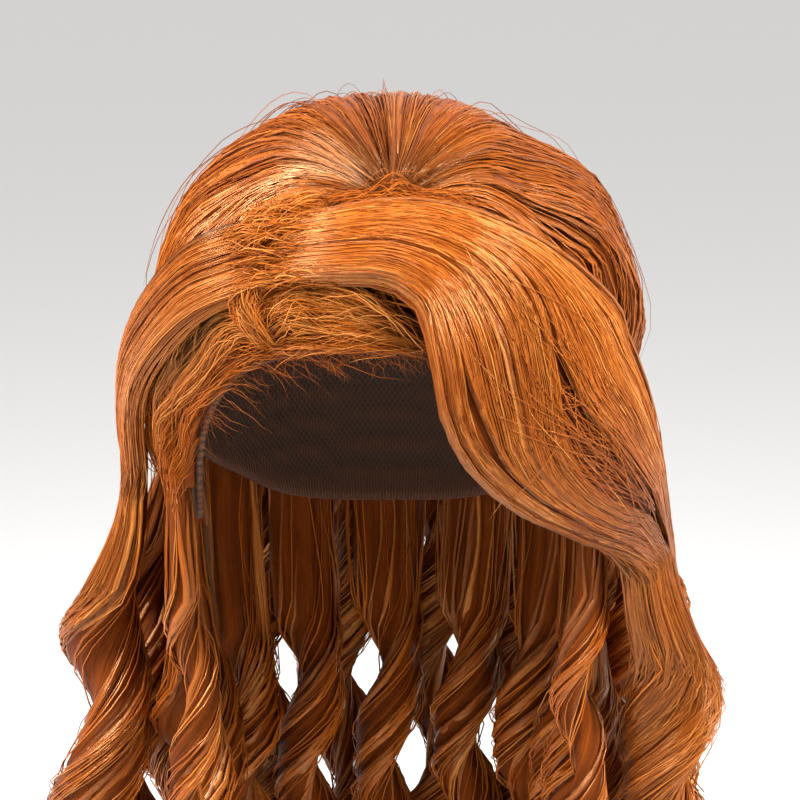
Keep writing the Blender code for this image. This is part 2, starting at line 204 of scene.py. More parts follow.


# %% [markdown]
# ## Bodies with rings
#
# A strand, a lock and a curl are the same thing at three sizes: rings of points along a
# path, closed at both ends.  One function turns an array of rings, bodies x stations x
# sides x 3, into one mesh.  It also stores three things on the points for the shader:
# grain, the place in straightened hair in millimetres; tone, how light a strand is, partly
# as painted light; and deep, painted shade for how much light reaches it between its
# neighbours.

# %% Turn points and faces into one mesh
def signed_volume(points, quads):
    """A sixth of the corner products of each quad's two triangles: below 0 if inside out."""
    a, b, c, d = (points[quads[:, corner]] for corner in range(4))
    return np.sum(a * (np.cross(b, c) + np.cross(c, d))) / 6


def new_piece(name, points, quads, fans, grain, tone, deep, material):
    """A smooth mesh object of quads and of many-sided end faces, with its attributes."""
    if signed_volume(points, quads) < 0:
        quads, fans = quads[:, ::-1], fans[:, ::-1]
    loops = np.concatenate([quads.ravel(), fans.ravel()])
    starts = np.concatenate(
        [np.arange(len(quads)) * 4, quads.size + np.arange(len(fans)) * fans.shape[1]]
    )
    mesh = bpy.data.meshes.new(name)
    mesh.vertices.add(len(points))
    mesh.vertices.foreach_set("co", points.astype(np.float32).ravel())
    mesh.loops.add(len(loops))
    mesh.loops.foreach_set("vertex_index", loops.astype(np.int32))
    mesh.polygons.add(len(starts))
    mesh.polygons.foreach_set("loop_start", starts.astype(np.int32))
    mesh.update(calc_edges=True)
    mesh.shade_smooth()
    for title, kind, values in (
        ("grain", "FLOAT_VECTOR", grain),
        ("tone", "FLOAT", tone),
        ("deep", "FLOAT", deep),
    ):
        layer = mesh.attributes.new(title, kind, "POINT")
        layer.data.foreach_set(
            "vector" if kind == "FLOAT_VECTOR" else "value", values.astype(np.float32).ravel()
        )
    mesh.materials.append(material)
    piece = bpy.data.objects.new(name, mesh)
    bpy.context.scene.collection.objects.link(piece)
    return piece


# %% Bodies through rings
def ring_piece(name, rings, grain, tone, deep, material):
    """Closed bodies through rings (bodies x stations x sides x 3), in one mesh.

    The corner k of ring m of body n is point (n stations + m) sides + k, and each quad
    joins corners k and k + 1 of a ring to the same corners of the next ring.
    """
    bodies, stations, sides = rings.shape[:3]
    number = np.arange(bodies * stations * sides).reshape(bodies, stations, sides)
    beside = np.roll(number, -1, axis=2)
    quads = np.stack(
        [number[:, :-1], number[:, 1:], beside[:, 1:], beside[:, :-1]], -1
    ).reshape(-1, 4)
    fans = np.concatenate([number[:, 0], number[:, -1, ::-1]])
    shape = (bodies, stations, sides)
    return new_piece(
        name,
        rings.reshape(-1, 3),
        quads,
        fans,
        np.broadcast_to(grain, (*shape, 3)),
        np.broadcast_to(tone, shape),
        np.broadcast_to(deep, shape),
        material,
    )


# %% Tubes round paths
def across_and_up(path, facing):
    """Across is the path's way crossed with its facing, up is across crossed with the way."""
    way = unit(np.gradient(path, axis=0))
    across = unit(np.cross(way, facing))
    return across, np.cross(across, way)


def walked(path):
    """The length along a path from its first station to each one: a running sum of steps."""
    steps = np.linalg.norm(np.diff(path, axis=0), axis=-1)
    return np.concatenate([0 * steps[:1], np.cumsum(steps, axis=0)])


def angles_round(sides):
    """Even angles once round a section, in radians."""
    return np.arange(sides) * 2 * np.pi / sides


def tubes(path, facing, radius, sides, flat):
    """Rings round each path (stations x bodies x 3): across cos + flat up sin, times the radius."""
    across, up = across_and_up(path, facing)
    angle = angles_round(sides)
    cos, sin = np.cos(angle)[:, None], flat * np.sin(angle)[:, None]
    spokes = across[:, :, None] * cos + up[:, :, None] * sin
    size = np.broadcast_to(radius, path.shape[:2])[..., None, None]
    return (path[:, :, None] + spokes * size).swapaxes(0, 1)


def tube_grain(rng, path, radius, sides, flat):
    """Straightened places in mm: round the tube, and along it, with a random start."""
    angle = angles_round(sides)
    size = np.broadcast_to(radius, path.shape[:2]).T[..., None]
    start = rng.uniform(0, 900, (path.shape[1], 3))
    x = size * np.cos(angle) * 1000 + start[:, 0, None, None]
    y = size * np.sin(angle) * flat * 1000 + start[:, 1, None, None]
    z = walked(path).T[..., None] * 1000 + start[:, 2, None, None] + 0 * x
    return np.stack([x, y, z], -1)


# %% [markdown]
# ## What makes strands look like hair
#
# Strands leave the scalp close together, gather in clumps, waver slowly and taper to a
# point.  Each of these is a short function on whole arrays, and the same ones serve the
# fringe, the crown and the curls.

# %% Clumps, wavering and taper
def wander(rng, stations, strands, waves, size):
    """Slow wavering of each strand: three sines of rising pace and falling size."""
    share = np.linspace(0, 1, stations)[None, :, None]
    pace = waves * np.array([0.45, 1.0, 2.1])[:, None] * rng.uniform(0.7, 1.3, (3, strands))
    phase = rng.uniform(0, 2 * np.pi, (3, strands))
    weight = np.array([0.6, 0.3, 0.14])[:, None, None]
    return size * (weight * np.sin(2 * np.pi * pace[:, None] * share + phase[:, None])).sum(0)


def frizz(rng, path, facing, size, waves):
    """Strands moved across and outwards by wavering, in metres."""
    stations, strands = path.shape[:2]
    across, up = across_and_up(path, facing)
    side = wander(rng, stations, strands, waves, 1.0) * size
    lift = wander(rng, stations, strands, waves, 1.0) * size
    return path + across * side[..., None] + up * lift[..., None]


def taper(stations, thickness, root=0.22, tip=0.25):
    """A strand's radius from root to tip, as a column: thin, full, thin."""
    share = column(stations)
    full = root + (1 - root) * smooth(share, 0, 0.15)
    return thickness * full * (1 - (1 - tip) * smooth(share, 0.72, 1.0))


def gathered(rng, strands, clumps, low, high, radius):
    """Places between low and high, in clumps: a clump's middle and a small random part."""
    middles = rng.uniform(low, high, clumps)
    chosen = rng.integers(0, clumps, strands)
    return middles[chosen] + rng.normal(0, radius, strands), chosen


# %% Smooth curves through rows
def cubic(before, a, b, after, t):
    """The smooth curve from a to b: its slope at each is half of what its neighbours span."""
    return 0.5 * (
        2 * a
        + (b - before) * t
        + (2 * before - 5 * a + 4 * b - after) * t**2
        + (3 * a - before - 3 * b + after) * t**3
    )


def through(table, steps):
    """The table's rows on a smooth curve through them, steps to each row."""
    count = len(table)
    at = np.linspace(0, count - 1, (count - 1) * steps + 1)
    row, t = row_and_rest(at, count - 1)
    padded = np.concatenate([2 * table[:1] - table[1:2], table, 2 * table[-1:] - table[-2:-1]])
    return cubic(*(padded[row + k] for k in range(4)), t[:, None])


# %% [markdown]
# ## Shader maths as Python
#
# A small class wraps a socket, so that sums on sockets add Math nodes.  Every other node
# comes from one method.


# %% A socket that takes part in sums
class Wire:
    """One output socket of a shader tree, with + - and * as Math nodes."""

    def __init__(self, tree, socket=None):
        self.tree = tree
        self.socket = socket

    def node(self, kind, settings=None, out=0, **inputs):
        """A node of this kind with its settings, then its inputs as values or wires."""
        made = self.tree.nodes.new(kind)
        for title, value in (settings or {}).items():
            if title == "stops":
                ramp = made.color_ramp
                while len(ramp.elements) < len(value):
                    ramp.elements.new(1.0)
                for element, (place, colour) in zip(ramp.elements, value):
                    element.position = place
                    element.color = colour
            else:
                setattr(made, title, value)
        for title, value in inputs.items():
            key = int(title[1:]) if title[1:].isdigit() else title.replace("_", " ")
            socket = made.inputs[key]
            if isinstance(value, Wire):
                self.tree.links.new(value.socket, socket)
            else:
                socket.default_value = value
        return Wire(self.tree, made.outputs[out])

    def attribute(self, title):
        """An attribute of the mesh: the grain's vector, or another's number."""
        out = 1 if title == "grain" else 2
        return self.node("ShaderNodeAttribute", {"attribute_name": title}, out=out)

    def feed(self, title):
        """Link this socket to the shader's input of this title."""
        self.tree.links.new(self.socket, self.tree.nodes["Principled BSDF"].inputs[title])

    def maths(self, operation, first, second):
        """A Math node on two values or wires."""
        return self.node("ShaderNodeMath", {"operation": operation}, _0=first, _1=second)

    def __add__(self, other):
        return self.maths("ADD", self, other)

    def __radd__(self, other):
        return self.maths("ADD", other, self)

    def __sub__(self, other):
        return self.maths("SUBTRACT", self, other)

    def __rsub__(self, other):
        return self.maths("SUBTRACT", other, self)

    def __mul__(self, other):
        return self.maths("MULTIPLY", self, other)

    def __rmul__(self, other):
        return self.maths("MULTIPLY", other, self)


def mix_colours(wire, factor, first, second):
    """A Mix node on colours."""
    return wire.node("ShaderNodeMix", {"data_type": "RGBA"}, out=2, _0=factor, _6=first, _7=second)


def new_material(name, **constants):
    """A material with constants on its shader's sockets, and a wire to start its nodes from."""
    material = bpy.data.materials.new(name)
    material.use_nodes = True
    shader = material.node_tree.nodes["Principled BSDF"]
    for title, value in constants.items():
        shader.inputs[title.replace("_", " ")].default_value = value
    return material, Wire(material.node_tree)


# %% [markdown]
# ## Copper hair
#
# Synthetic hair of this colour runs from a burnt brown, through a strong orange, to a pale
# peach.  The tone attribute picks the colour of a strand, and part of it is painted light:
# strands on top, and those where light lies along the sweep and the fringe's outer side,
# are made lighter, towards peach.  Streaks of noise that is stretched along the grain break
# it up, and the deep attribute paints shade: it takes the colour towards brown inside the
# hair and between the locks.  One function makes four materials: glossy strands and wisps
# on top, and duller strands and bodies below them.

# %% The hair materials
# Painted shade: the deep attribute mixes the hair towards the first colour, a dark brown.
SHADE_BROWN = (0.030, 0.0034, 0.0006, 1)
BURNT = (0.125, 0.0190, 0.0010, 1)
ORANGE = (0.320, 0.0600, 0.0022, 1)
AMBER = (0.490, 0.1200, 0.0070, 1)
PEACH = (0.700, 0.2650, 0.0560, 1)


def hair_material(name, streaks, bump, roughness, gloss):
    """Tone and streaks on one ramp, from burnt brown to peach, painted shade from deep, and fine
    grooves.
    """
    surface = {"Roughness": roughness, "Specular_IOR_Level": gloss, "IOR": 1.55}
    material, start = new_material(name, **surface, Specular_Tint=(1.0, 0.60, 0.29, 1))
    grain, tone, deep = (start.attribute(title) for title in ("grain", "tone", "deep"))
    stretch = {"operation": "MULTIPLY"}
    stretched = start.node("ShaderNodeVectorMath", stretch, _0=grain, _1=(1.0, 1.0, 0.02))
    fine = start.node("ShaderNodeTexNoise", Vector=stretched, Scale=3.4, Detail=3.0, Roughness=0.62)
    broad = start.node("ShaderNodeTexNoise", Vector=stretched, Scale=0.5, Detail=2.0, Roughness=0.5)
    shade = tone + (fine - 0.5) * (1.6 * streaks) + (broad - 0.5) * streaks
    stops = [(0.0, BURNT), (0.42, ORANGE), (0.75, AMBER), (1.0, PEACH)]
    colour = start.node("ShaderNodeValToRGB", {"stops": stops}, Fac=shade)
    mix_colours(start, deep, SHADE_BROWN, colour).feed("Base Color")
    if bump:
        height = fine + broad * 1.5
        start.node("ShaderNodeBump", Strength=bump, Distance=0.0006, Height=height).feed("Normal")
    return material


strand_hair = hair_material("strand_hair", 0.24, 0.0, 0.23, 0.95)
lock_hair = hair_material("lock_hair", 0.66, 0.85, 0.27, 0.95)
under_hair = hair_material("under_hair", 0.30, 0.0, 0.40, 0.40)
body_hair = hair_material("body_hair", 0.75, 0.95, 0.50, 0.20)


# %% Attach a piece to the wig
totals = []


def dress(piece, slot, *nodes):
    """Ride on the wig and stand for these plain nodes; the slot is not used."""
    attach(piece, "root")
    if nodes:
        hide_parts(*nodes)
    triangles = sum(len(p.vertices) - 2 for p in piece.data.polygons)
    print(piece.name, triangles, "triangles")
    totals.append(triangles)


# %% Make one piece of many strands
def hairs(rng, name, path, facing, radius, tone, deep, slot="hair", flat=None):
    """Strands as three-sided tubes, or wisps as flat five-sided ones, on their paths."""
    sides, height, material = (3, 1.0, strand_hair) if flat is None else (5, flat, lock_hair)
    if slot == "hair_under" and flat is None:
        material = under_hair
    rings = tubes(path, facing, radius, sides, height)
    grain = tube_grain(rng, path, radius, sides, height)
    deep = np.broadcast_to(deep, path.shape[:2]).T[..., None]
    dress(ring_piece(name, rings, grain, tone[:, None, None], deep, material), slot)


def strand_tone(rng, layer, chosen, clumps, base):
    """A base, more for strands on top as painted light, and a random part for the strand and its
    clump.
    """
    own = rng.normal(0, 0.12, len(layer))
    return base + 0.24 * layer + own + rng.normal(0, 0.10, clumps)[chosen]


def stretch_of(path, start, stop, stations):
    """Each strand's own stretch of the path, from start to stop, as a smooth curve.

    start and stop are station numbers of the path, and the curve through four neighbours
    is read at even steps between them.
    """
    last = len(path) - 1
    at = np.clip(between((start, stop), column(stations)), 0, last)
    row, t = row_and_rest(at, last)
    strand = np.arange(path.shape[1])[None]
    near = (np.clip(row + step, 0, last) for step in (-1, 0, 1, 2))
    return cubic(*(path[index, strand] for index in near), t[..., None])


# %% [markdown]
# ## The fringe and the sweep
#
# Both are flat locks that follow the curve of the head, and both end in a long curl
# beside the face.  A place in them is a share across, a share up, and a place along.
# The same two functions therefore place the dark body, the flat wisps on it and the
# strands on top.

# %% The tables of the two swept locks
FRINGE_WIDTH, FRINGE_THICKNESS, FRINGE_RISE = 0.100, 0.0120, 0.0055
SWEEP_WIDTH, SWEEP_THICKNESS, SWEEP_RISE = 0.034, 0.0090, 0.0042
FRINGE = np.array([  # bearing, polar angle, width, depth, rise
    (-26, 49.5, 0.15, 0.62, 0.00), (-12, 50.0, 0.22, 0.85, 0.04), (3, 51.0, 0.31, 1.00, 0.60),
    (15.5, 55.5, 0.45, 1.00, 1.00), (24.5, 64.0, 0.71, 1.00, 1.00), (32, 75.0, 0.96, 1.00, 0.95),
    (39, 84.5, 0.92, 1.00, 0.90), (50, 94.0, 0.74, 1.05, 0.95), (63, 103.0, 0.52, 1.20, 1.00),
])
SWEEP = np.array([  # the same columns
    (-30, 50.0, 0.62, 0.60, 0.00), (-38, 54.0, 0.95, 0.90, 0.40), (-48, 59.0, 0.98, 1.00, 1.00),
    (-60, 67.0, 1.00, 1.00, 1.00), (-72, 77.0, 1.00, 1.00, 1.00), (-81, 88.0, 0.95, 1.05, 0.80),
    (-87, 101.0, 0.85, 1.10, 0.60),
])
ROW_STEPS = 4  # stations from one row to the next
HANGING_STATIONS = 60
RING_STEP = 0.0135
CURL_OPENING, CURL_TAPER = 0.085, 0.075
FRONT_TIP, FRONT_RADIUS, FRONT_PITCH = 0.500, 0.020, 0.102
FRINGE_CURL_BEARING, SWEEP_CURL_BEARING = 77.0, -90.0
BODY_OFFSET, BODY_DEPTH, BODY_WIDTH = 0.40, 0.58, 0.84
TOP_SPREAD, CURL_GAP, LAYER_GAP = 0.0175, 0.0016, 0.0009


# %% Places in a swept lock and in a curl
def swept(rows, width, depth, across, up):
    """Paths in a lock that lies on the head: shares across and up, stations x strands.

    The across share moves a point sideways off the middle line, the map brings it back
    over the head, and the up share sets its lift there.
    """
    middle_facing = direction(rows[:, 0], rows[:, 1])
    middle = head_point(middle_facing, rows[:, 4])
    beside, _ = across_and_up(middle, head_normal(middle_facing))
    sideways = across * rows[:, 2, None] * width / 2
    spread = middle[:, None] + beside[:, None] * sideways[..., None]
    facing = head_direction(spread)
    lift = rows[:, 4, None] + up * rows[:, 3, None] * depth / 2
    return head_point(facing, lift), head_normal(facing)


def curl(place, drop, across, up):
    """Paths in a hanging curl: the flat top opens into a body that winds round its middle.

    The body's middle is offset from the curl's axis, and both turn once for each pitch.
    place holds the curl's bearing and sizes, and drop the depth of each station.
    """
    slim, tip, radius = place["slim"], place["tip"], place["radius"]
    opening = smooth(drop, slim, slim + CURL_OPENING)
    end = 1 - 0.82 * smooth(drop, tip - CURL_TAPER, tip)
    half = (place["outer"] - place["inner"]) / 2
    reach = (half * (1 - opening) + radius * opening) * end
    stand_off = place["inner"] * (1 - opening) + place["hang"] * opening + reach / end
    turn = 2 * np.pi * np.maximum(drop - slim - CURL_OPENING / 2, 0) / place["pitch"]
    wide = (place["half_width"] * (1 - opening) + BODY_WIDTH * radius * opening) * end
    deep = reach * (1 - (1 - BODY_DEPTH) * opening)
    out = (BODY_OFFSET * reach * opening)[:, None] + deep[:, None] * up
    side = wide[:, None] * across
    cos, sin = np.cos(turn)[:, None], np.sin(turn)[:, None]
    radial, beside = out * cos - side * sin, out * sin + side * cos
    around = np.radians(place["bearing"])
    outward = np.array([np.sin(around), -np.cos(around)])
    clockwise = np.array([-np.cos(around), -np.sin(around)])
    axis = (np.array([HALF_WIDTH, HALF_LENGTH]) + stand_off[:, None]) * outward
    offset = radial[..., None] * outward + beside[..., None] * clockwise
    level = np.broadcast_to(-drop[:, None, None], (*radial.shape, 1))
    path = np.concatenate([axis[:, None] + offset, level], -1)
    inside = 0.6 * reach[:, None, None] * (1 - opening[:, None, None])
    facing = np.concatenate([offset + outward * inside, 0 * level], -1)
    return path, unit(facing + 1e-9)


def rim(across):
    """How far up the section's edge is at a share across, the same as the plain lock's."""
    return np.maximum(1 - np.abs(across) ** 2.5, 0) ** 0.35


def section(sides):
    """Across and up shares round a flattened, full-sided section."""
    angle = angles_round(sides)
    across = np.sign(np.cos(angle)) * np.abs(np.cos(angle)) ** 0.8
    up = np.sign(np.sin(angle)) * np.abs(np.sin(angle)) ** 0.7
    return across, up


# %% The two swept locks, from the parting to the curl's tip
def swept_lock(table, width, depth, rise, curl_bearing):
    """The lock's rows with their lifts, and its curl's sizes, as in the plain model."""
    rows = through(table, ROW_STEPS)
    rows[:, 4] = FRONT_SEAT + rows[:, 4] * rise + rows[:, 3] * depth / 2
    last_depth = rows[-1, 3] * depth
    inner = rows[-1, 4] - last_depth / 2
    edge = swept(rows, width, depth, *(np.tile(s, (len(rows), 1)) for s in section(24)))[0]
    top = RING_STEP / 2 - edge[-1, :, 2].min()
    place = dict(
        bearing=curl_bearing, top=top, slim=top, tip=FRONT_TIP, inner=inner,
        outer=inner + last_depth, half_width=rows[-1, 2] * width / 2,
        radius=FRONT_RADIUS, pitch=FRONT_PITCH, hang=TOP_SPREAD,
    )
    return rows, width, depth, place


FRINGE_SIZES = (FRINGE_WIDTH, FRINGE_THICKNESS, FRINGE_RISE, FRINGE_CURL_BEARING)
SWEEP_SIZES = (SWEEP_WIDTH, SWEEP_THICKNESS, SWEEP_RISE, SWEEP_CURL_BEARING)
plain_fringe = swept_lock(FRINGE, *FRINGE_SIZES)
plain_sweep = swept_lock(SWEEP, *SWEEP_SIZES)


def whole_lock(lock, across, up):
    """The lying stations and then the hanging ones, for the same shares."""
    rows, width, depth, place = lock
    lying = len(rows)
    drop = np.linspace(place["top"], place["tip"], HANGING_STATIONS)
    on_head, on_facing = swept(rows, width, depth, across[:lying], up[:lying])
    below, below_facing = curl(place, drop, across[lying:], up[lying:])
    return np.concatenate([on_head, below]), np.concatenate([on_facing, below_facing])


# %% Where the fringe parts
FRINGE_PARTING = np.array([  # table row, share across, half gap: below 0 it closes
    (3.0, -0.36, 0.000), (3.6, -0.34, 0.015), (4.25, -0.20, 0.030), (4.75, -0.02, 0.040),
    (5.5, 0.10, 0.110), (6.0, 0.16, 0.180), (6.75, 0.19, 0.260), (7.5, 0.15, 0.225),
    (8.6, -0.05, 0.080), (10.5, -0.36, -0.020),
])
INNER_PARTING = np.array([
    (3.9, 0.74, 0.0), (4.5, 0.75, 0.020), (4.95, 0.76, 0.045),
    (5.3, 0.76, 0.010), (5.6, 0.75, -0.030), (7.0, 0.75, -0.050),
])
SWEEP_PARTING = np.array([(0.5, 0.10, 0.0), (2.0, 0.20, 0.03), (4.0, 0.10, 0.06), (6.5, 0.10, -0.03)])


def parting_at(row, line):
    """The parting's share across and its half gap at a row of the lock's table."""
    return np.interp(row, line[:, 0], line[:, 1]), np.interp(row, line[:, 0], line[:, 2])


def parted(across, row, line):
    """Strands on each side of a parting line keep their side and make room for the gap.

    Outside the line, -1 stays and the line's start moves to the gap's edge, and likewise
    inside it, so the shares between are scaled evenly.
    """
    start = line[0, 1]
    middle, gap = parting_at(row, line)
    outer = -1 + (np.minimum(across, start) + 1) / (start + 1) * (middle - gap + 1)
    inner = 1 - (1 - np.maximum(across, start)) / (1 - start) * (1 - middle - gap)
    return np.where(across[:1] < start, outer, inner)


# %% The bodies under the strands, painted dark as shade
def lock_body(name, node, lock, sides, line):
    """One body a little inside the plain lock, with lengthwise folds, painted dark as shade.

    It dips along the parting line, and is painted darker there as shade: the dip is a bell over the
    share across.
    """
    rows, width, depth, _ = lock
    across, up = section(sides)
    stations = len(rows) + HANGING_STATIONS
    share = column(stations)
    angle = angles_round(sides)
    folds = 0.88 - 0.05 * np.cos(9 * angle + 5 * share) - 0.03 * np.cos(17 * angle - 9 * share)
    middle, gap = parting_at(np.arange(stations)[:, None] / ROW_STEPS, line)
    bell = np.exp(-(((across - middle) / (gap + 0.05)) ** 2)) * smooth(gap, 0, 0.05) * (up > 0)
    path, _ = whole_lock(lock, across * folds, up * folds * (1 - 0.45 * bell))
    along = walked(path.mean(1))[:, None] * 1000 + 0 * angle
    grain = np.stack([across * width * 450 + 0 * along, up * depth * 450 + 0 * along, along], -1)
    # Painted shade: a low tone all over, and darker still in the parting.
    deep = 0.60 - 0.57 * bell
    piece = ring_piece(name, path[None], grain[None], 0.22, deep[None], body_hair)
    dress(piece, "hair", node)


lock_body("fringe_body", "fringe_swoop", plain_fringe, 56, FRINGE_PARTING)
lock_body("sweep_body", "left_sweep", plain_sweep, 30, SWEEP_PARTING)

# %% [markdown]
# ## Roots of the fringe and the sweep
#
# The two locks leave each other at a parting above the left eye.  Their bodies start
# there, but hair has no blunt start: strands rise out of the hair round the parting.  The
# tables for the strands therefore have one more row, beyond the body and sunk below it.

# %% Tables for the strands
FRINGE_HAIR = np.concatenate([[(-37, 54, 0.30, 0.4, -0.7)], FRINGE])
FRINGE_HAIR[1:4, 1:5] = [(51.0, 0.26, 0.62, -0.1), (50.6, 0.27, 0.85, 0.3), (51.0, 0.32, 1.0, 0.7)]
SWEEP_HAIR = np.concatenate([[(-20, 46.5, 0.75, 0.5, -0.8)], SWEEP])
SWEEP_HAIR[1, 2:5] = (0.90, 0.6, -0.2)
*fringe_hair, _ = swept_lock(FRINGE_HAIR, *FRINGE_SIZES)
*sweep_hair, _ = swept_lock(SWEEP_HAIR, *SWEEP_SIZES)
fringe_curl, sweep_curl = plain_fringe[-1], plain_sweep[-1]


# %% Hair on top of a swept lock
def lock_hairs(rng, name, lock, lines, strands, clumps, **shape):
    """Strands over the upper side: a clump shares a wavering line, and strands keep near it.

    A strand's share across is its clump's, a small part of its own and two waverings, and
    it lies on the section's rim, deeper or higher by its layer.  Painted highlight: the
    painted sheen makes all strands lighter, and outer those of the outer side.  Painted
    shade: shade and edge make those that have turned down past the brow and those of the
    inner edge darker, and lower layers are darker too.
    """
    stations = len(lock[0]) + HANGING_STATIONS
    reach = shape["reach"]
    across, chosen = gathered(rng, strands, clumps, -reach, reach, 0.022)
    share = column(stations)
    loose = 0.30 + 0.70 * smooth(share, 0.12, 0.4)
    line = wander(rng, stations, clumps, 3.0, 1.0)[:, chosen] * shape["sway"] * loose
    across = across + line + wander(rng, stations, strands, 4.0, 0.030) * loose
    across = np.clip(across, -1.0, 1.0)
    row = np.arange(stations)[:, None] / ROW_STEPS - 1
    for parting in lines:
        across = parted(across, row, parting)
    layer = rng.beta(*shape["layers"], strands)
    up = rim(across) * between(shape["heights"], layer)
    up = up + wander(rng, stations, strands, 6.0, 0.05)
    up = up + smooth(np.abs(across), 0.95, 1.0) * rng.uniform(-0.95, 0.55, strands)
    path, facing = whole_lock(lock, across, up)
    start = between(shape["begin"], rng.random(strands) ** 1.4)
    stop = between(shape["end"], rng.random(strands))
    count = shape["stations"]
    path, facing = stretch_of(path, start, stop, count), stretch_of(facing, start, stop, count)
    path = frizz(rng, path, facing, 0.0004, 3.0)
    radius = taper(count, shape["thick"] / 2) * rng.uniform(0.7, 1.25, strands)
    # Painted highlight: all strands of the sweep get a lighter tone, and those of the fringe's outer
    # side too.
    tone = strand_tone(rng, layer, chosen, clumps, shape["base"] + shape["painted_sheen"])
    tone = tone + shape["outer"] * (1 - smooth(across.mean(0), -0.75, -0.15))
    # Painted shade: lower layers, strands turned down past the brow and those of the sweep's inner
    # edge are darker.
    at = between((start, stop), column(count)) / ROW_STEPS - 1
    turned = smooth(at, 3.3, 4.7)
    turned = turned * (0.15 + 0.85 * smooth(across.mean(0), -0.60, 0.0))
    deep = (0.55 + 0.45 * layer) * (1 - shape["shade"] * turned)
    deep = deep * (1 - shape["edge"] * smooth(across.mean(0), 0.45, 0.92))
    hairs(rng, name, path, facing, radius, tone, deep, flat=shape.get("flat"))


rng = np.random.default_rng(11)
WISPS = dict(layers=(2, 2), heights=(0.72, 0.99), sway=0.05, flat=0.26, base=0.34, reach=1.06)
FINE = dict(layers=(4, 1.5), heights=(0.9, 1.1), sway=0.07, base=0.40, reach=1.16, thick=0.00042)
# Painted highlight in the first two settings, painted shade in the last two.
ON_FRINGE = dict(painted_sheen=0.0, outer=0.12, shade=0.36, edge=0.0)
ON_SWEEP = dict(painted_sheen=0.10, outer=0.0, shade=0.0, edge=0.60)
fringe, sweep = (*fringe_hair, fringe_curl), (*sweep_hair, sweep_curl)
for name, lock, lines, strands, clumps, looks in (
    ("fringe_wisps", fringe, [FRINGE_PARTING, INNER_PARTING], 260, 60,
     dict(WISPS, **ON_FRINGE, thick=0.0024, stations=22, begin=(1, 9), end=(34, 56))),
    ("fringe_strands", fringe, [FRINGE_PARTING, INNER_PARTING], 840, 95,
     dict(FINE, **ON_FRINGE, stations=24, begin=(0, 10), end=(27, 58))),
    ("sweep_wisps", sweep, [SWEEP_PARTING], 90, 30,
     dict(WISPS, **ON_SWEEP, thick=0.0020, stations=20, begin=(1, 8), end=(24, 46))),
    ("sweep_strands", sweep, [SWEEP_PARTING], 330, 40,
     dict(FINE, **ON_SWEEP, stations=24, begin=(0, 8), end=(20, 48))),
):
    lock_hairs(rng, name, lock, lines, strands, clumps, **looks)


# %% Loose hair across the partings
def crossing_hairs(rng, name, lock, strands, stations, thick, zone, heights):
    """Loose strands that slant over a zone of the lock: rows and shares across, low to high.

    Each station's share across and up gives a path along the whole lock, and the strand
    takes the place on it at its own row, mixed from the two stations beside it.
    """
    rows, width, depth, _ = lock
    t = column(stations)
    at = rng.uniform(zone[0], zone[1], strands) + rng.normal(2.0, 1.1, strands) * (t - 0.5)
    slant = rng.normal(0, 0.42, strands)
    across = rng.uniform(zone[2], zone[3], strands) + slant * (t - 0.5)
    across = across + wander(rng, stations, strands, 0.7, 0.02)
    last = len(rows) - 1
    row, mix = row_and_rest(np.clip((at + 1) * ROW_STEPS, 0, last), last)
    mix = mix[..., None]
    up = rng.uniform(*heights, strands) + 0.35 * np.sin(np.pi * t) * rng.random(strands)
    up = up * rim(np.clip(across, -1, 1))
    strand = np.arange(strands)
    path, facing = np.empty((2, stations, strands, 3))
    for k in range(stations):
        shares = (np.tile(share[k], (len(rows), 1)) for share in (across, up))
        along, outward = swept(rows, width, depth, *shares)
        path[k] = along[row[k], strand] * (1 - mix[k]) + along[row[k] + 1, strand] * mix[k]
        facing[k] = outward[row[k], strand]
    radius = taper(stations, thick / 2) * rng.uniform(0.7, 1.2, strands)
    # Painted shade: these strands are mixed a little towards dark brown.
    hairs(rng, name, path, facing, radius, rng.normal(0.52, 0.14, strands), 0.86)


rng = np.random.default_rng(17)
parting, everywhere = (5.2, 7.8, -0.10, 0.42), (1.0, 6.5, -0.9, 0.9)
crossing_hairs(rng, "parting_strands", fringe, 120, 9, 0.00038, parting, (0.45, 1.12))
crossing_hairs(rng, "fringe_loose", fringe, 40, 10, 0.00034, everywhere, (1.08, 1.20))

# %% [markdown]
# ## The crown
#
# All the hair on the cap springs from one point behind the fringe and falls round the
# head.  The body is a shell between two lifts of the map, with locks as long grooves that
# widen as they fall.  It is painted dark as shade, and darker in the grooves, because on
# real hair one sees down between the strands into shade.

# %% How thick the hair of the crown is
def crown_thickness(bearing):
    """Thin in front of the ears and full behind them: a smooth step in the bearing."""
    around = np.abs((bearing + 180) % 360 - 180)
    return SIDE_HAIR + (BACK_HAIR - SIDE_HAIR) * smooth(around, 94, 122)


def crown_puff(facing, share):
    """The swell behind the fringe and the sweep, as a product of smooth steps."""
    turn, fall = map_angles(facing)
    around = np.abs(turn)
    right = RIGHT_PUFF * smooth(around - 0.9 * np.maximum(fall - 58, 0), 56, 76)
    left = LEFT_PUFF * smooth(around - 1.25 * np.maximum(fall - 58, 0), 66, 84)
    swell = np.where(turn > 0, right, left) * (1 - smooth(around, 98, 140)) * smooth(fall, 28, 54)
    return swell * smooth(share, 0.2, 0.45) * (1 - smooth(share, 0.76, 0.98))


def crown_lift(bearing, share):
    """The map direction and the lift of the crown's surface, for end bearings and shares."""
    facing = flow(bearing, share)
    height = crown_thickness(bearing) * (0.5 + 0.5 * smooth(share, 0.1, 0.35))
    return facing, HAIR_FLOOR + height + crown_puff(facing, share)


def locks(bearing, share):
    """Grooves between locks: folded sines of the bearing, whose phase drifts as they fall."""
    wide = np.abs(np.sin(np.radians(bearing * 9 + 40 * share * np.sin(np.radians(bearing * 2.3)))))
    fine = np.abs(np.sin(np.radians(bearing * 23 + 65 * share)))
    return 0.65 * wide**0.7 + 0.35 * fine**0.7


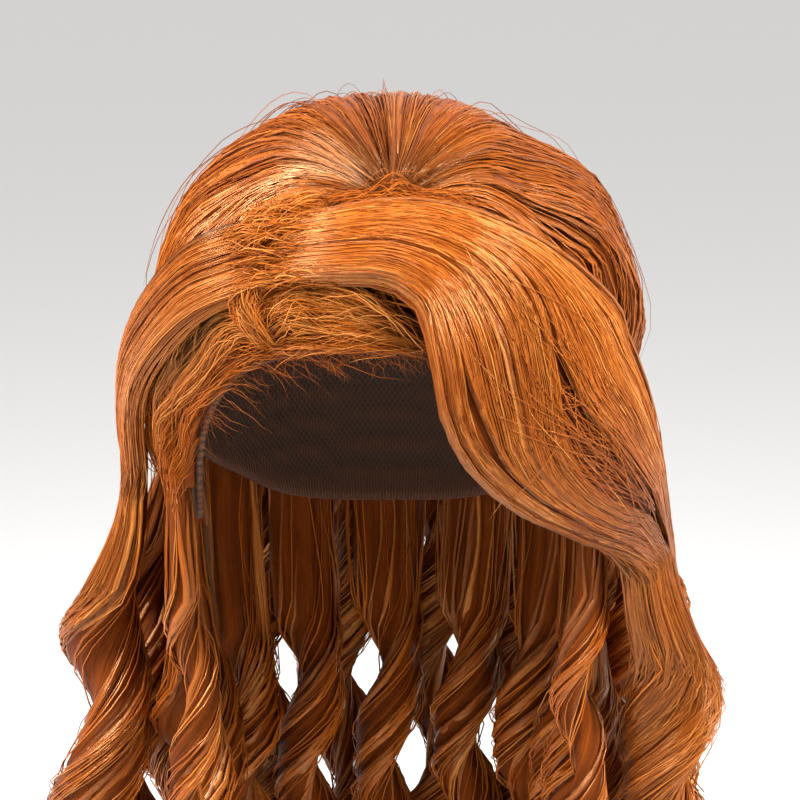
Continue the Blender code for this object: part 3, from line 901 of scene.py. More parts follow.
# %% A shell between two grids
def shell_piece(name, inner, outer, grain, tone, deep, material):
    """A closed shell: an inner and an outer grid, joined along their rims by quads.

    The rim is walked once round the grid, and each wall joins two neighbours on it.
    """
    rows, columns = inner.shape[:2]
    number = np.arange(rows * columns).reshape(rows, columns)
    face = np.stack([number[:-1, :-1], number[1:, :-1], number[1:, 1:], number[:-1, 1:]], -1)
    rim_walk = np.concatenate(
        [number[0, :-1], number[:-1, -1], number[-1, :0:-1], number[:0:-1, 0]]
    )
    beside, size = np.roll(rim_walk, -1), rows * columns
    walls = np.stack([rim_walk, beside, beside + size, rim_walk + size], -1)
    quads = np.concatenate(
        [face.reshape(-1, 4)[:, ::-1], face.reshape(-1, 4) + size, walls[:, ::-1]]
    )
    points = np.concatenate([inner.reshape(-1, 3), outer.reshape(-1, 3)])
    double = [np.concatenate([v, v]) for v in (grain.reshape(-1, 3), tone.ravel(), deep.ravel())]
    return new_piece(name, points, quads, np.zeros((0, 4), int), *double, material)


# %% The crown's body
CROWN_MARGIN = 1.5  # degrees between the crown and the short hair in front of it
ends = np.linspace(FRONT_BEARING + CROWN_MARGIN, 360 - FRONT_BEARING - CROWN_MARGIN, 160)
bearing, share = np.meshgrid(ends, np.linspace(0.03, 1, 40))
facing, lift = crown_lift(bearing, share)
folds = locks(bearing, share)
lift = lift - 0.0006 - 0.0030 * (1 - folds) * smooth(share, 0.04, 0.4)
lift = HAIR_FLOOR + (lift - HAIR_FLOOR) * (1 - 0.30 * smooth(share, 0.93, 1.0) ** 2)
inner, outer = head_point(facing, HAIR_FLOOR), head_point(facing, lift)
for grid in (inner, outer):
    grid[-1, :, 2] = -CROWN_EDGE_DROP
grain = np.stack([bearing * 1.6, 30 * folds, share * 210], -1)
# Painted shade: darker in the grooves between the locks, with a low tone all over.
deep = 0.22 + 0.40 * folds
crown_body = shell_piece("crown_body", inner, outer, grain, 0.24 + 0 * share, deep, body_hair)
dress(crown_body, "hair", "crown_hair")
ground_facing, ground_lift = [facing.reshape(-1, 3)], [lift.ravel()]


# %% The crown's strands
CROWN_SINK, CROWN_DEPTH = 0.0026, 0.0036


def crown_strands(rng, name, low, high, strands, clumps, stations, thick, **shape):
    """Strands over the crown: a clump keeps one end bearing, and its strands stay near it.

    Each strand starts near the source, wavers more as it falls, and lies a little above
    or below the body's surface.
    """
    ends, chosen = gathered(rng, strands, clumps, low, high, 0.8)
    ends = np.clip(ends, low - 1, high + 1)
    start = between(shape["begin"], rng.beta(1, 1.8, strands))
    stop = between(shape["end"][::-1], rng.beta(1, 2.2, strands))
    share = between((start, stop), column(stations))
    turn = wander(rng, stations, clumps, 1.3, 2.6)[:, chosen]
    turn = turn + wander(rng, stations, strands, 1.8, 1.4)
    bearing = ends + turn * smooth(share, 0.02, 0.5)
    facing, lift = crown_lift(bearing, share)
    layer = rng.beta(*shape["layers"], strands)
    lift = lift - CROWN_SINK + CROWN_DEPTH * layer + wander(rng, stations, strands, 2.4, 0.0006)
    lift = lift + shape["rise"] * rng.random(strands) ** 2 * np.sin(np.pi * share)
    lift = lift - 0.004 * smooth(share, 0.96, 1.0)
    facing = head_normal(facing)
    path = frizz(rng, head_point(flow(bearing, share), lift), facing, 0.0007, 3.0)
    radius = taper(stations, thick / 2) * rng.uniform(0.7, 1.3, strands)
    tone = strand_tone(rng, layer, chosen, clumps, shape["base"])
    # Painted shade: lower layers are darker, and so are all strands near the source.
    deep = (0.5 + 0.5 * layer) * (0.35 + 0.65 * smooth(share, 0.02, 0.36))
    hairs(rng, name, path, facing, radius, tone, deep, flat=shape.get("flat"))


rng = np.random.default_rng(21)
WHOLE = dict(begin=(0.03, 0.30), end=(0.66, 1.0), rise=0.0)
BROAD = dict(WHOLE, layers=(2, 2), flat=0.26, base=0.31)
THIN = dict(WHOLE, layers=(4, 1.6), base=0.38)
FLYING = dict(WHOLE, layers=(2, 2), rise=0.0075, end=(0.4, 0.95), base=0.33)
SHORT = dict(THIN, begin=(0.03, 0.2), end=(0.3, 0.72))
for side, low, high in (("right", 62, 180), ("left", 180, 298)):
    crown_strands(rng, f"crown_wisps_{side}", low, high, 150, 45, 16, 0.0036, **BROAD)
    crown_strands(rng, f"crown_strands_{side}", low, high, 560, 85, 17, 0.00058, **THIN)
crown_strands(rng, "crown_flyaways", 62, 298, 90, 90, 21, 0.00034, **FLYING)
crown_strands(rng, "crown_strands_front", -66, 66, 330, 60, 15, 0.00050, **SHORT)


# %% [markdown]
# ## Short hair at the front
#
# Along the cap's front edge the hair is short and teased, which hides the edge.  Three
# shells carry it, as in the plain model, and two hollows dip into them, painted dark as shade.

# %% The two hollows, painted dark as shade
def hollow(facing):
    """How far inside a hollow a place is, from 0 to 1: a bell along a slanted line on the map.

    One hollow lies under the fringe's lower edge, the other between the roll and the sweep.
    Hair sinks into both and is painted darker there as shade.
    """
    turn, fall = map_angles(facing)
    right = np.exp(-(((turn - 6) / 10) ** 2) - ((fall - 60.0 - 0.50 * turn) / 5.4) ** 2)
    left = np.exp(-(((turn + 53) / 9) ** 2) - ((fall - 70.0 + 0.85 * (turn + 54)) / 5.2) ** 2)
    return np.maximum(right, left)


# %% The hairline bodies
BODY_DIP, STRAND_DIP = 0.0035, 0.0032  # how far the hair sinks in a hollow


def hairline_body(name, node, first, last, columns, puff):
    """The plain piece's shell at a finer step, with the same rise, roll and rounded edge."""
    bearing, share = np.meshgrid(np.linspace(first, last, columns), np.linspace(0.12, 1, 30))
    facing = flow(bearing, share)
    rounded = np.sqrt(1 - smooth(share, 0.55, 1.0) * 0.93)
    height = FRONT_HAIR * (0.55 + 0.45 * smooth(share, 0.05, 0.24)) * rounded
    roll = puff * smooth(share, 0.66, 0.82) * (1 - smooth(share, 0.88, 1.0))
    folds = locks(bearing * 2, share)
    lift = HAIR_FLOOR + height * (0.80 + 0.12 * folds) + roll
    ground_facing.append(facing.reshape(-1, 3))
    ground_lift.append(lift.ravel())
    inner = head_point(facing, HAIR_FLOOR)
    grain = np.stack([bearing * 1.6, 30 * folds, share * 110], -1)
    # Painted shade: the body has a low tone, is darker in its grooves and darkest in the hollows.
    deep = (0.30 + 0.30 * folds) * (1 - 0.95 * hollow(facing))
    outer = head_point(facing, lift - BODY_DIP * hollow(facing))
    piece = shell_piece(name, inner, outer, grain, 0.22 + 0 * share, deep, body_hair)
    dress(piece, "hair_under", node)


hairline_body("hairline_left_body", "hairline_left", -FRONT_BEARING, -21.0, 60, ROLL_PUFF)
hairline_body("hairline_centre_body", "hairline_centre", -19.0, 18.0, 50, 0.0)
hairline_body("hairline_right_body", "hairline_right", 20.0, FRONT_BEARING, 50, 0.0)
ground_facing = np.concatenate(ground_facing).astype(np.float32)
ground_lift = np.concatenate(ground_lift).astype(np.float32)


# %% The surface that teased hair lies on
def ground(facing):
    """The lift of the hair's surface in each direction: a mean with weights that fall off.

    The weight of a known place is e to the power 2600 (cosine of the angle to it, less 1),
    so places within about 1.6 degrees count.
    """
    asked = facing.reshape(-1, 3).astype(np.float32)
    found = np.empty(len(asked), np.float32)
    for part in np.array_split(np.arange(len(asked)), max(1, len(asked) // 1500)):
        near = asked[part] @ ground_facing.T
        near = np.exp(2600 * (near - near.max(axis=1, keepdims=True)))
        found[part] = near @ ground_lift / near.sum(axis=1)
    return found.reshape(facing.shape[:-1])


# %% Teased hair along a guide
GUIDE_LIFT = 0.010


def teased(
    rng, name, guide, strands, clumps, stations, thick, manner, length, lift, base, crowd, darken
):
    """Short strands along a guide on the head, each on its own stretch of it.

    The manner gives the number of waves, their size and the slant.  A strand keeps a share
    across the guide, slants and wavers, and arches above the hair under it: its height is
    its own times the square root of a half sine, plus wavering.  In a hollow it sinks and
    is painted darker as shade.
    """
    waves, curling, leaning = manner
    rows = through(np.array(guide), 6)
    last = len(rows) - 1
    facing = direction(rows[:, 0], rows[:, 1])
    middle = head_point(facing, GUIDE_LIFT)
    way = unit(np.gradient(middle, axis=0))
    beside = unit(np.cross(way, head_normal(facing)))
    across, chosen = gathered(rng, strands, clumps, -1.0, 1.0, 0.10)
    t = column(stations)
    long = last * rng.uniform(*length, strands)
    start = (last - long * 0.6) * rng.random(strands) ** crowd - long * 0.15
    slant = rng.normal(0, leaning, clumps)[chosen] + rng.normal(0, leaning, strands)
    across = across + slant * (t - 0.5) + wander(rng, stations, strands, waves, curling)
    row, mix = row_and_rest(np.clip(start + long * t, 0, last), last)
    half = rows[row, 2] * (1 - mix) + rows[row + 1, 2] * mix
    mix = mix[..., None]
    place = middle[row] * (1 - mix) + middle[row + 1] * mix
    place = place + (beside[row] * (1 - mix) + beside[row + 1] * mix) * (half * across)[..., None]
    place = place + way[row] * (wander(rng, stations, strands, waves, 1.0) * 0.0015)[..., None]
    facing = head_direction(place)
    layer = rng.beta(2, 1.6, strands)
    arch = np.sqrt(np.sin(np.pi * np.clip(t, 0, 1)) + 0.02)
    above = between(lift, layer) * arch - 0.0012 * (1 - arch)
    above = above + wander(rng, stations, strands, waves * 1.3, 1.0) * 0.0006
    # Painted shade: lower layers are darker, and a strand in a hollow is darker still.
    dip = darken * hollow(facing)
    path = head_point(facing, ground(facing) + above - STRAND_DIP * dip)
    radius = taper(stations, thick / 2) * rng.uniform(0.7, 1.25, strands)
    tone = strand_tone(rng, layer, chosen, clumps, base)
    deep = (0.45 + 0.55 * layer) * (1 - dip)
    hairs(rng, name, path, head_normal(facing), radius, tone, deep, "hair_under")


# %% [markdown]
# ## The swirl over the left temple
#
# The teased hair turns round a small swirl at the hairline above the left eye.  To the
# left of it a roll climbs over a crest and falls towards the temple.  To the right low arcs
# run under the fringe into a hollow painted dark as shade.  Loose strands bridge the place
# where the fringe and the sweep part, cross the two hollows, and cover the tab in front of
# the left ear.  Each set of strands has its own guide, and one table gives all their numbers.

# %% Guides of the teased hair: bearing, polar angle, half width in metres
ROLL = [
    (-28.6, 69.0, 0.0015), (-32.5, 66.0, 0.0045), (-38.5, 65.2, 0.0085), (-45.0, 68.3, 0.0100),
    (-52.0, 74.5, 0.0100), (-60.5, 81.5, 0.0085), (-69.0, 89.0, 0.0075), (-74.0, 98.0, 0.0070),
]
ROLL_UNDER = [
    (-27.5, 70.0, 0.0025), (-34.0, 70.8, 0.0045), (-42.0, 74.5, 0.0055),
    (-50.0, 80.0, 0.0055), (-58.5, 87.5, 0.0050), (-64.0, 96.0, 0.0050),
]
TEASE = [
    (-30.0, 66.0, 0.0050), (-24.0, 61.8, 0.0085), (-14.0, 60.8, 0.0095),
    (-3.0, 62.8, 0.0070), (7.0, 65.3, 0.0050), (16.0, 67.8, 0.0045),
]
EDGE = [
    (-32.0, 70.5, 0.0030), (-20.0, 68.0, 0.0040), (-8.0, 67.0, 0.0040),
    (4.0, 67.4, 0.0035), (18.0, 69.0, 0.0030),
]
RIDGE = [(-31.0, 50.5, 0.0050), (-32.5, 56.0, 0.0060), (-32.0, 62.0, 0.0050), (-28.5, 69.0, 0.0030)]
ROOTS = [(-46.0, 51.5, 0.0050), (-36.0, 48.5, 0.0065), (-28.0, 45.5, 0.0065), (-17.0, 42.5, 0.0050)]
BRIDGE = [(-46.0, 55.0, 0.008), (-35.0, 52.0, 0.009), (-24.0, 50.5, 0.009), (-10.0, 50.0, 0.009)]
SOURCE = [(-24.0, 43.0, 0.006), (-6.0, 38.5, 0.008), (10.0, 38.5, 0.008), (30.0, 44.0, 0.006)]
SIDE = [(-58.0, 66.0, 0.007), (-70.0, 76.0, 0.009), (-80.0, 88.0, 0.009), (-86.0, 102.0, 0.008)]
TAB = [
    (-54.5, 83.0, 0.0045), (-58.5, 89.5, 0.0065), (-62.5, 96.0, 0.0080),
    (-66.5, 103.5, 0.0085), (-69.0, 112.0, 0.0070),
]
JUNCTION = [
    (-41.0, 61.5, 0.0050), (-35.5, 58.5, 0.0065), (-29.0, 56.5, 0.0070),
    (-20.0, 55.5, 0.0060), (-10.0, 55.5, 0.0040),
]
HOLE = [(-44.0, 60.0, 0.0060), (-52.0, 67.0, 0.0060), (-60.0, 75.0, 0.0060)]
HOLLOW = [(-14.0, 55.0, 0.0060), (-4.0, 57.5, 0.0070), (5.0, 61.5, 0.0070), (12.0, 67.0, 0.0050)]

# %% The sets of teased hair
SOFT = (1.5, 0.12, 0.20)  # waves, curl, slant
WILD = (1.9, 0.22, 0.60)
# This sets how far strands sink in the hollows and how much darker they are painted there, as shade.
DARK = 0.95
# The roll and tease strands get high tones, partly as painted light where the crest and the teased
# hair catch the light.
TEASED = (  # strands, clumps, stations, thickness, manner, lengths, lifts, tone, crowding, darkening
    ("roll_strands", ROLL, 470, 70, 14, 0.00040, SOFT, (0.35, 0.8), (0.0, 0.0042), 0.70, 1.3, DARK),
    ("roll_under_strands", ROLL_UNDER, 240, 70, 11, 0.00036,
     WILD, (0.25, 0.6), (0.0, 0.0035), 0.42, 1.0, DARK),
    ("tease_strands", TEASE, 470, 90, 12, 0.00038, SOFT, (0.3, 0.75), (0.0, 0.0032), 0.62, 1.0, DARK),
    ("tease_frizz", TEASE, 150, 100, 10, 0.00030, WILD, (0.2, 0.5), (0.001, 0.0045), 0.64, 1.5, DARK),
    ("edge_frizz", EDGE, 240, 100, 10, 0.00030, WILD, (0.16, 0.5), (0.0, 0.0025), 0.46, 1.0, DARK),
    ("ridge_strands", RIDGE, 120, 50, 10, 0.00036, WILD, (0.3, 0.7), (0.003, 0.0105), 0.62, 1.0, DARK),
    ("root_strands", ROOTS, 210, 60, 10, 0.00038,
     (1.4, 0.2, 0.7), (0.3, 0.8), (0.0075, 0.0135), 0.52, 1.0, DARK),
    ("bridge_strands", BRIDGE, 130, 50, 12, 0.00040,
     (1.2, 0.14, 0.35), (0.3, 0.7), (0.0105, 0.0142), 0.54, 1.0, DARK),
    ("source_strands", SOURCE, 170, 60, 10, 0.00040,
     (1.4, 0.25, 0.9), (0.3, 0.8), (0.001, 0.0075), 0.32, 1.0, DARK),
    ("side_strands", SIDE, 150, 40, 12, 0.00050,
     (1.3, 0.15, 0.3), (0.4, 0.95), (0.001, 0.0085), 0.34, 1.0, DARK),
    ("tab_strands", TAB, 150, 50, 11, 0.00044,
     (1.2, 0.16, 0.45), (0.35, 0.85), (0.0008, 0.0042), 0.42, 1.0, DARK),
    ("junction_strands", JUNCTION, 170, 70, 11, 0.00038,
     (1.4, 0.18, 0.55), (0.3, 0.75), (0.003, 0.0125), 0.54, 1.0, 0.2),
    ("hole_strands", HOLE, 16, 12, 10, 0.00034,
     (1.3, 0.2, 1.0), (0.5, 0.9), (0.003, 0.0065), 0.50, 1.0, 0.2),
    ("hollow_strands", HOLLOW, 34, 24, 12, 0.00034,
     (1.3, 0.2, 0.9), (0.5, 0.9), (0.004, 0.0095), 0.66, 1.0, 0.1),
)
rng = np.random.default_rng(41)
for entry in TEASED:
    teased(rng, *entry)


# %% Baby hair over the cap's edge
def baby_hairs(rng, name, low, high, strands, stations, thick):
    """Fine short hairs that leave the cap's edge and bend down and sideways past it."""
    t = column(stations)
    root = rng.uniform(low, high, strands)
    reach = 0.5 + 6.0 * rng.random(strands) ** 1.8
    drift = rng.normal(6.0, 8.0, strands)
    bearing = root + drift * t + wander(rng, stations, strands, 1.6, 1.4)
    polar = cap_edge(root) - 2.0 + (reach + 2.0) * t ** rng.uniform(0.7, 1.4, strands)
    lift = 0.0038 - 0.0028 * t + rng.uniform(0, 0.0025, strands) * np.sin(np.pi * t)
    facing = direction(bearing, polar + wander(rng, stations, strands, 1.5, 0.8))
    radius = taper(stations, thick / 2, 0.8, 0.3) * rng.uniform(0.7, 1.2, strands)
    tone = rng.normal(0.50, 0.12, strands)
    path = head_point(facing, lift)
    hairs(rng, name, path, head_normal(facing), radius, tone, 0.9, "hair_under")


baby_hairs(rng, "baby_hairs", -60, 24, 240, 8, 0.00017)

# %% [markdown]
# ## Corkscrew curls
#
# A corkscrew curl is a bundle of hair that was wound on a rod: a flattened body whose
# middle runs in a spiral.  Eight large ones hang from the crown's edge, nine smaller ones
# under them, and a slim one in front of each ear.  Their places follow the same sums as in
# the plain model, so each one covers its own.

# %% Where the curls hang
BACK_RADIUS, NAPE_RADIUS, TEMPLE_RADIUS = 0.0205, 0.0155, 0.0105
BACK_PITCH, NAPE_PITCH = 0.102, 0.086
BACK_TIP, NAPE_TIP, TEMPLE_TIP = 0.545, 0.470, 0.330
BACK_BEARING, NAPE_BEARING, TEMPLE_BEARING = 110.0, 86.0, 67.0  # the first of each row
NAPE_SHARE, NAPE_CLEAR_DROP = 0.42, 0.164
CURL_STAGGER = 0.015
CURL_TOP = CROWN_EDGE_DROP + LAYER_GAP / 2


# %% Room for each curl round the head
def oval(bearings, lift):
    """Level points round the head's widest outline, moved out by lift."""
    turn = np.radians(bearings)
    return np.stack([(HALF_WIDTH + lift) * np.sin(turn), -(HALF_LENGTH + lift) * np.cos(turn)], -1)


def ring_bearings(first, lift, diameter):
    """Bearings that divide the outline's length, from first round the back, evenly."""
    fine = np.linspace(first, 360 - first, 721)
    along = walked(oval(fine, lift))
    count = int(along[-1] / (diameter + CURL_GAP)) + 1
    return np.interp(np.linspace(0, along[-1], count), along, fine)


def room_beside(bearings, lift):
    """Half of each curl's room beside its nearest neighbour."""
    apart = np.linalg.norm(np.diff(oval(bearings, lift), axis=0), axis=1)
    nearest = np.minimum(np.append(apart, apart[-1]), np.append(apart[0], apart))
    return (nearest - CURL_GAP) / 2


# %% The places and sizes of the curls
curls = []
bearings = ring_bearings(BACK_BEARING, TOP_SPREAD + BACK_RADIUS, 2 * BACK_RADIUS)
thickness = crown_thickness(bearings)
inner = HAIR_FLOOR + thickness * NAPE_SHARE + LAYER_GAP / 2
half_width = room_beside(bearings, inner.min())
for n, bearing in enumerate(bearings):
    curls.append(dict(
        name=f"back_curl_{n + 1:02d}", bearing=bearing, top=CURL_TOP, slim=CURL_TOP,
        tip=BACK_TIP - CURL_STAGGER * (2 * (n % 3 == 1) + n % 2),
        inner=inner[n], outer=HAIR_FLOOR + thickness[n] - LOCK_RELIEF, half_width=half_width[n],
        radius=BACK_RADIUS, pitch=BACK_PITCH * (1 + 0.10 * np.sin(2.1 * n)), hang=TOP_SPREAD,
    ))
hang = TOP_SPREAD - CURL_GAP - 2 * NAPE_RADIUS
bearings = ring_bearings(NAPE_BEARING, hang + NAPE_RADIUS, 2 * NAPE_RADIUS)
outer = HAIR_FLOOR + crown_thickness(bearings) * NAPE_SHARE - LAYER_GAP / 2
half_width = room_beside(bearings, HAIR_FLOOR)
for n, bearing in enumerate(bearings):
    curls.append(dict(
        name=f"nape_curl_{n + 1:02d}", bearing=bearing, top=CURL_TOP, slim=NAPE_CLEAR_DROP,
        tip=NAPE_TIP - CURL_STAGGER * (n % 2),
        inner=HAIR_FLOOR, outer=outer[n], half_width=half_width[n],
        radius=NAPE_RADIUS, pitch=NAPE_PITCH * (1 + 0.10 * np.sin(1.7 * n + 1)), hang=hang,
    ))
for side, bearing in (("left", -TEMPLE_BEARING), ("right", TEMPLE_BEARING)):
    curls.append(dict(
        name=f"temple_curl_{side}", bearing=bearing, top=CURL_TOP, slim=CURL_TOP, tip=TEMPLE_TIP,
        inner=HAIR_FLOOR, outer=HAIR_FLOOR + SIDE_HAIR - LOCK_RELIEF,
        half_width=TEMPLE_RADIUS * 0.7, radius=TEMPLE_RADIUS, pitch=NAPE_PITCH * 0.85,
        hang=HAIR_FLOOR - TEMPLE_RADIUS,
    ))
print(len(curls), "curls")


# %% A curl's body
CURL_SINK = 0.008
WINDING = 1.25  # length along a winding strand for each metre of drop


def curl_body(rng, place, sides, stations):
    """The plain curl's section with folds along it, five broad ones and many narrow ones.

    The body starts above the plain curl's top, sunk into the hair it hangs from.
    """
    angle = angles_round(sides)
    drop = np.linspace(place["top"] - CURL_SINK, place["tip"], stations)
    share = column(stations)
    shift = rng.uniform(0, 2 * np.pi, 3)
    folds = (
        0.86
        - 0.07 * np.abs(np.sin(2.5 * angle + 1.5 * share + shift[0])) ** 2
        - 0.05 * np.cos(7 * angle - 4 * share + shift[1])
        - 0.03 * np.cos(12 * angle + 7 * share + shift[2])
    )
    path, _ = curl(place, drop, np.cos(angle) * folds, np.sin(angle) * folds)
    along = (drop - place["top"])[:, None] * (1000 * WINDING)
    ring = place["radius"] * 1000
    grain = np.stack(
        [ring * np.cos(angle) + 0 * along, ring * np.sin(angle) + 0 * along, along + 0 * angle], -1
    )
    # Painted shade: a low tone all over, and darker in the folds.
    deep = 0.35 + 0.45 * smooth(folds, 0.76, 0.94)
    name = place["name"] + "_body"
    return ring_piece(name, path[None], grain[None], 0.32, deep[None], body_hair)


# %% A curl's whole path, from the crown down
ROOT_SHARE = 0.60


def rooted_curl(place, angle, swell, roots, hanging):
    """Paths on the crown above the curl and then round the curl, for angles and swells.

    On the crown a strand follows the flow to its share of the curl's width, and settles
    from just above the surface to its place in the curl's top.
    """
    across, up = np.cos(angle) * swell, np.sin(angle) * swell
    drop = np.linspace(place["top"], place["tip"], hanging)
    below, below_facing = curl(place, drop, across[roots:], up[roots:])
    if not roots:
        return below, below_facing
    from_axis = np.linalg.norm(oval(place["bearing"], 0))
    turn = np.degrees(place["half_width"] / (from_axis + place["outer"]))
    bearing = place["bearing"] - across[:roots] * turn
    share = np.linspace(ROOT_SHARE, 1, roots + 1)[:-1, None] + 0 * bearing
    facing, surface = crown_lift(bearing, share)
    middle, half = (place["inner"] + place["outer"]) / 2, (place["outer"] - place["inner"]) / 2
    lift = middle + half * up[:roots]
    high = surface + 0.0004 + 0.0010 * np.clip(swell[:roots] - 0.9, -0.3, 0.4) / 0.1
    settle = smooth(share, 0.80, 1.0)
    above = head_point(facing, high * (1 - settle) + lift * settle)
    end = head_point(flow(bearing[-1], 1 + 0 * bearing[-1]), lift[-1])
    above = above + (below[0] - end) * (((share - ROOT_SHARE) / (1 - ROOT_SHARE)) ** 3)[..., None]
    return np.concatenate([above, below]), np.concatenate([head_normal(facing), below_facing])


# %% Hair on a curl
def curl_hairs(rng, place, title, strands, clumps, roots, **shape):
    """Strands or wisps that wind with the body, in clumps round its section.

    A strand keeps its angle on the turning section but for slow wandering, so it winds
    with the curl.  One that lies on the outer side may start on the crown above it.
    """
    hanging = 84
    stations = roots + hanging
    angle, chosen = gathered(rng, strands, clumps, 0, 2 * np.pi, 0.12)
    angle = angle + wander(rng, stations, clumps, 1.6, 0.45)[:, chosen]
    angle = angle + wander(rng, stations, strands, 2.4, 0.30)
    layer = rng.beta(*shape["layers"], strands)
    share = column(stations)
    loose = wander(rng, stations, strands, 4.0, 0.05) + shape["stray"] * rng.random(strands) ** 3
    swell = between(shape["heights"], layer)
    swell = swell + loose * smooth(share, 0.08, 0.3)
    swell = swell + 0.12 * rng.random(strands) * smooth(share, 0.8, 1.0)
    path, facing = rooted_curl(place, angle, swell, roots, hanging)
    outside = np.sin(angle[roots]) > -0.1
    start = np.where(outside, roots * rng.random(strands) ** 0.8, roots)
    start = start + hanging * 0.45 * rng.beta(1, 4, strands) * rng.choice([0, 1], strands)
    stop = stations - 1 - hanging * 0.55 * rng.beta(1, 3.5, strands)
    count = shape["stations"]
    path, facing = stretch_of(path, start, stop, count), stretch_of(facing, start, stop, count)
    path = frizz(rng, path, facing, shape["frizz"], 4.0)
    radius = taper(count, shape["thick"] / 2) * rng.uniform(0.7, 1.25, strands)
    tone = strand_tone(rng, layer, chosen, clumps, shape["base"])
    # Painted shade: lower layers are darker.
    deep = 0.50 + 0.50 * layer
    name = place["name"] + title
    hairs(rng, name, path, facing, radius, tone, deep, shape["slot"], shape.get("flat"))


# %% Wisps and strands on every curl
rng = np.random.default_rng(31)
CURL_HAIR = {  # slot, wisps, strands, stations on the crown, stations of a wisp and a strand
    "back": ("hair", 20, 36, 14, 38, 42),
    "nape": ("hair_under", 12, 20, 0, 32, 34),
    "temple": ("hair", 7, 18, 8, 28, 30),
    "front": ("hair", 18, 40, 0, 38, 42),
}
ROUND = dict(layers=(2, 2), heights=(0.82, 0.98), flat=0.30, base=0.33, stray=0.0, frizz=0.0009)
LOOSE = dict(layers=(4, 1.5), heights=(0.90, 1.04), base=0.40, stray=0.11, frizz=0.0006,
             thick=0.00066)
front_curls = [dict(fringe_curl, name="front_curl_right"), dict(sweep_curl, name="front_curl_left")]
for place in curls + front_curls:
    kind = place["name"].split("_")[0]
    slot, wisps, strands, roots, first, second = CURL_HAIR[kind]
    small = place["radius"] / BACK_RADIUS
    if kind != "front":
        dress(curl_body(rng, place, 22, 54), slot, place["name"])
    locked = dict(ROUND, thick=0.0042 * small**0.5, stations=first, slot=slot)
    curl_hairs(rng, place, "_wisps", wisps, wisps, roots, **locked)
    free = dict(LOOSE, stations=second, slot=slot)
    curl_hairs(rng, place, "_strands", strands, 18, roots, **free)

# %% [markdown]
# ## The net cap
#
# Through the face opening one looks into the cap.  It is an elastic net, on which hair is
# sewn in rows called wefts, and each weft shows inside as a narrow raised track.  The
# shape is a profile of rings, down outside and back up inside, where a wave with a step
# of 9 mm makes the tracks.

# %% The cap
MM_PER_DEGREE = 1.75  # along the head
WEFT_STEP = 9  # mm


def cap_rings(columns, outside, inside):
    """Rings of the dome: polar angle is the edge's times a share, lift the wall's or a wave."""
    bearing = np.arange(columns) * 360 / columns
    down = np.linspace(0.01, 1, outside)[:, None]
    up = np.linspace(1, 0.01, inside)[:, None]
    share = np.concatenate([down, up])
    polar = share * cap_edge(bearing)
    place = direction(bearing + 0 * polar, polar)
    depth = polar * MM_PER_DEGREE
    track = np.maximum(np.cos(2 * np.pi * depth / WEFT_STEP), 0) ** 2
    edge = smooth(share, 0.955, 0.985)
    relief = -0.0007 * track * (1 - edge) - 0.0004 * edge
    lift = np.where(np.arange(outside + inside)[:, None] < outside, CAP_WALL, relief)
    grain = np.stack([bearing * 1.5 + 0 * polar, depth, lift * 1000], -1)
    return head_point(place, lift + 0 * polar), grain, np.maximum(track, edge)


# %% The net's material
THREADS, STITCHES = 2.4, 4.0  # radians in a millimetre


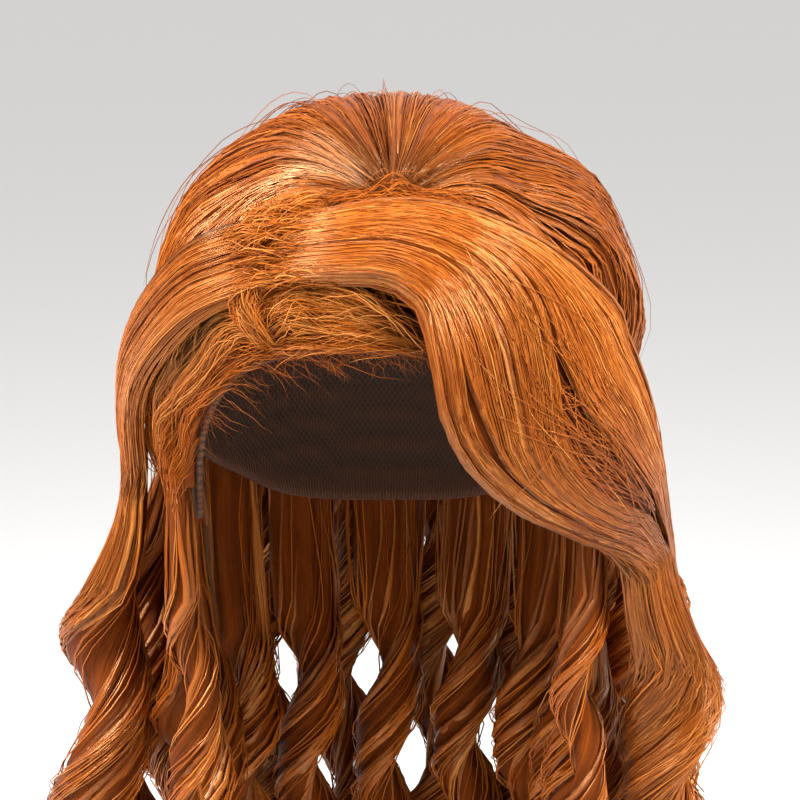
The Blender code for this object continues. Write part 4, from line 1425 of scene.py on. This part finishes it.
def net_material():
    """Crossed threads as sines of the place along both diagonals, and paler tracks."""
    material, start = new_material("net", Roughness=0.82)
    grain, track = start.attribute("grain"), start.attribute("tone")
    x, y = (start.node("ShaderNodeSeparateXYZ", out=out, _0=grain) for out in (0, 1))
    rising = start.maths("SINE", (x + y) * THREADS, 0)
    falling = start.maths("SINE", (x - y) * THREADS, 0)
    thread = start.maths("MAXIMUM", rising, falling)
    settings = {"interpolation_type": "SMOOTHSTEP"}
    net = start.node("ShaderNodeMapRange", settings, _0=thread, _1=0.45, _2=0.85)
    stitch = start.maths("SINE", x * STITCHES, 0)
    fuzz = start.node("ShaderNodeTexNoise", Vector=grain, Scale=0.35, Detail=3.0)
    base = mix_colours(start, net, (0.018, 0.0085, 0.0050, 1), (0.075, 0.036, 0.022, 1))
    sewn = mix_colours(start, (stitch + 1) * 0.5, (0.040, 0.017, 0.008, 1), (0.165, 0.052, 0.016, 1))
    colour = mix_colours(start, track, base, sewn)
    mix_colours(start, fuzz * 0.5, colour, (0.11, 0.045, 0.020, 1)).feed("Base Color")
    height = net + track * (stitch * 0.5)
    start.node("ShaderNodeBump", Strength=0.8, Distance=0.0005, Height=height).feed("Normal")
    return material


rings, grain, track = cap_rings(96, 9, 66)
cap = ring_piece("cap_net", rings[None], grain[None], track[None], 1.0, net_material())
dress(cap, "cap_net", "cap")

# %% [markdown]
# ## The light and the floor
#
# Two soft boxes stand in front of the head, one on each side and about 35 degrees above
# the brow.  They lay a bright band across the fringe and another across the sweep, where
# the strands bend past them.  A weak one above fills in.

# %% Lights, sky and floor
def soft_light(name, place, size, power):
    """A square area light that looks at the brow."""
    lamp = bpy.data.lights.new(name, "AREA")
    lamp.size = size
    lamp.energy = power
    made = bpy.data.objects.new(name, lamp)
    bpy.context.scene.collection.objects.link(made)
    made.location = place
    towards = np.array([0.0, -0.03, -0.07]) - np.array(place)
    made.rotation_euler = (
        np.arctan2(np.hypot(towards[0], towards[1]), -towards[2]),
        0,
        np.arctan2(towards[1], towards[0]) - np.pi / 2,
    )


soft_light("right_softbox", (0.82, -0.56, 0.62), 0.34, 24)
soft_light("left_softbox", (-0.90, -0.30, 0.54), 0.46, 24)
soft_light("top_softbox", (0.0, -0.35, 1.4), 0.9, 8)

sky = bpy.data.worlds.new("studio")
sky.use_nodes = True
sky.node_tree.nodes["Background"].inputs["Color"].default_value = (1.0, 0.99, 0.98, 1)
sky.node_tree.nodes["Background"].inputs["Strength"].default_value = 0.70
bpy.context.scene.world = sky
bpy.context.scene.view_settings.view_transform = "Standard"

FLOOR_GAP, FLOOR_HALF = 0.012, 24.0
level = cad_low.z - FLOOR_GAP
signs = [(-1, -1), (1, -1), (1, 1), (-1, 1)]
corners = [(x * FLOOR_HALF, y * FLOOR_HALF, level) for x, y in signs]
floor_mesh = bpy.data.meshes.new("floor")
floor_mesh.from_pydata(corners, [], [(0, 1, 2, 3)])
floor = bpy.data.objects.new("floor", floor_mesh)
bpy.context.scene.collection.objects.link(floor)
paper, _ = new_material("paper", Base_Color=(0.93, 0.925, 0.915, 1), Roughness=0.9)
floor_mesh.materials.append(paper)

# %% Finish
print("all new pieces", sum(totals), "triangles")
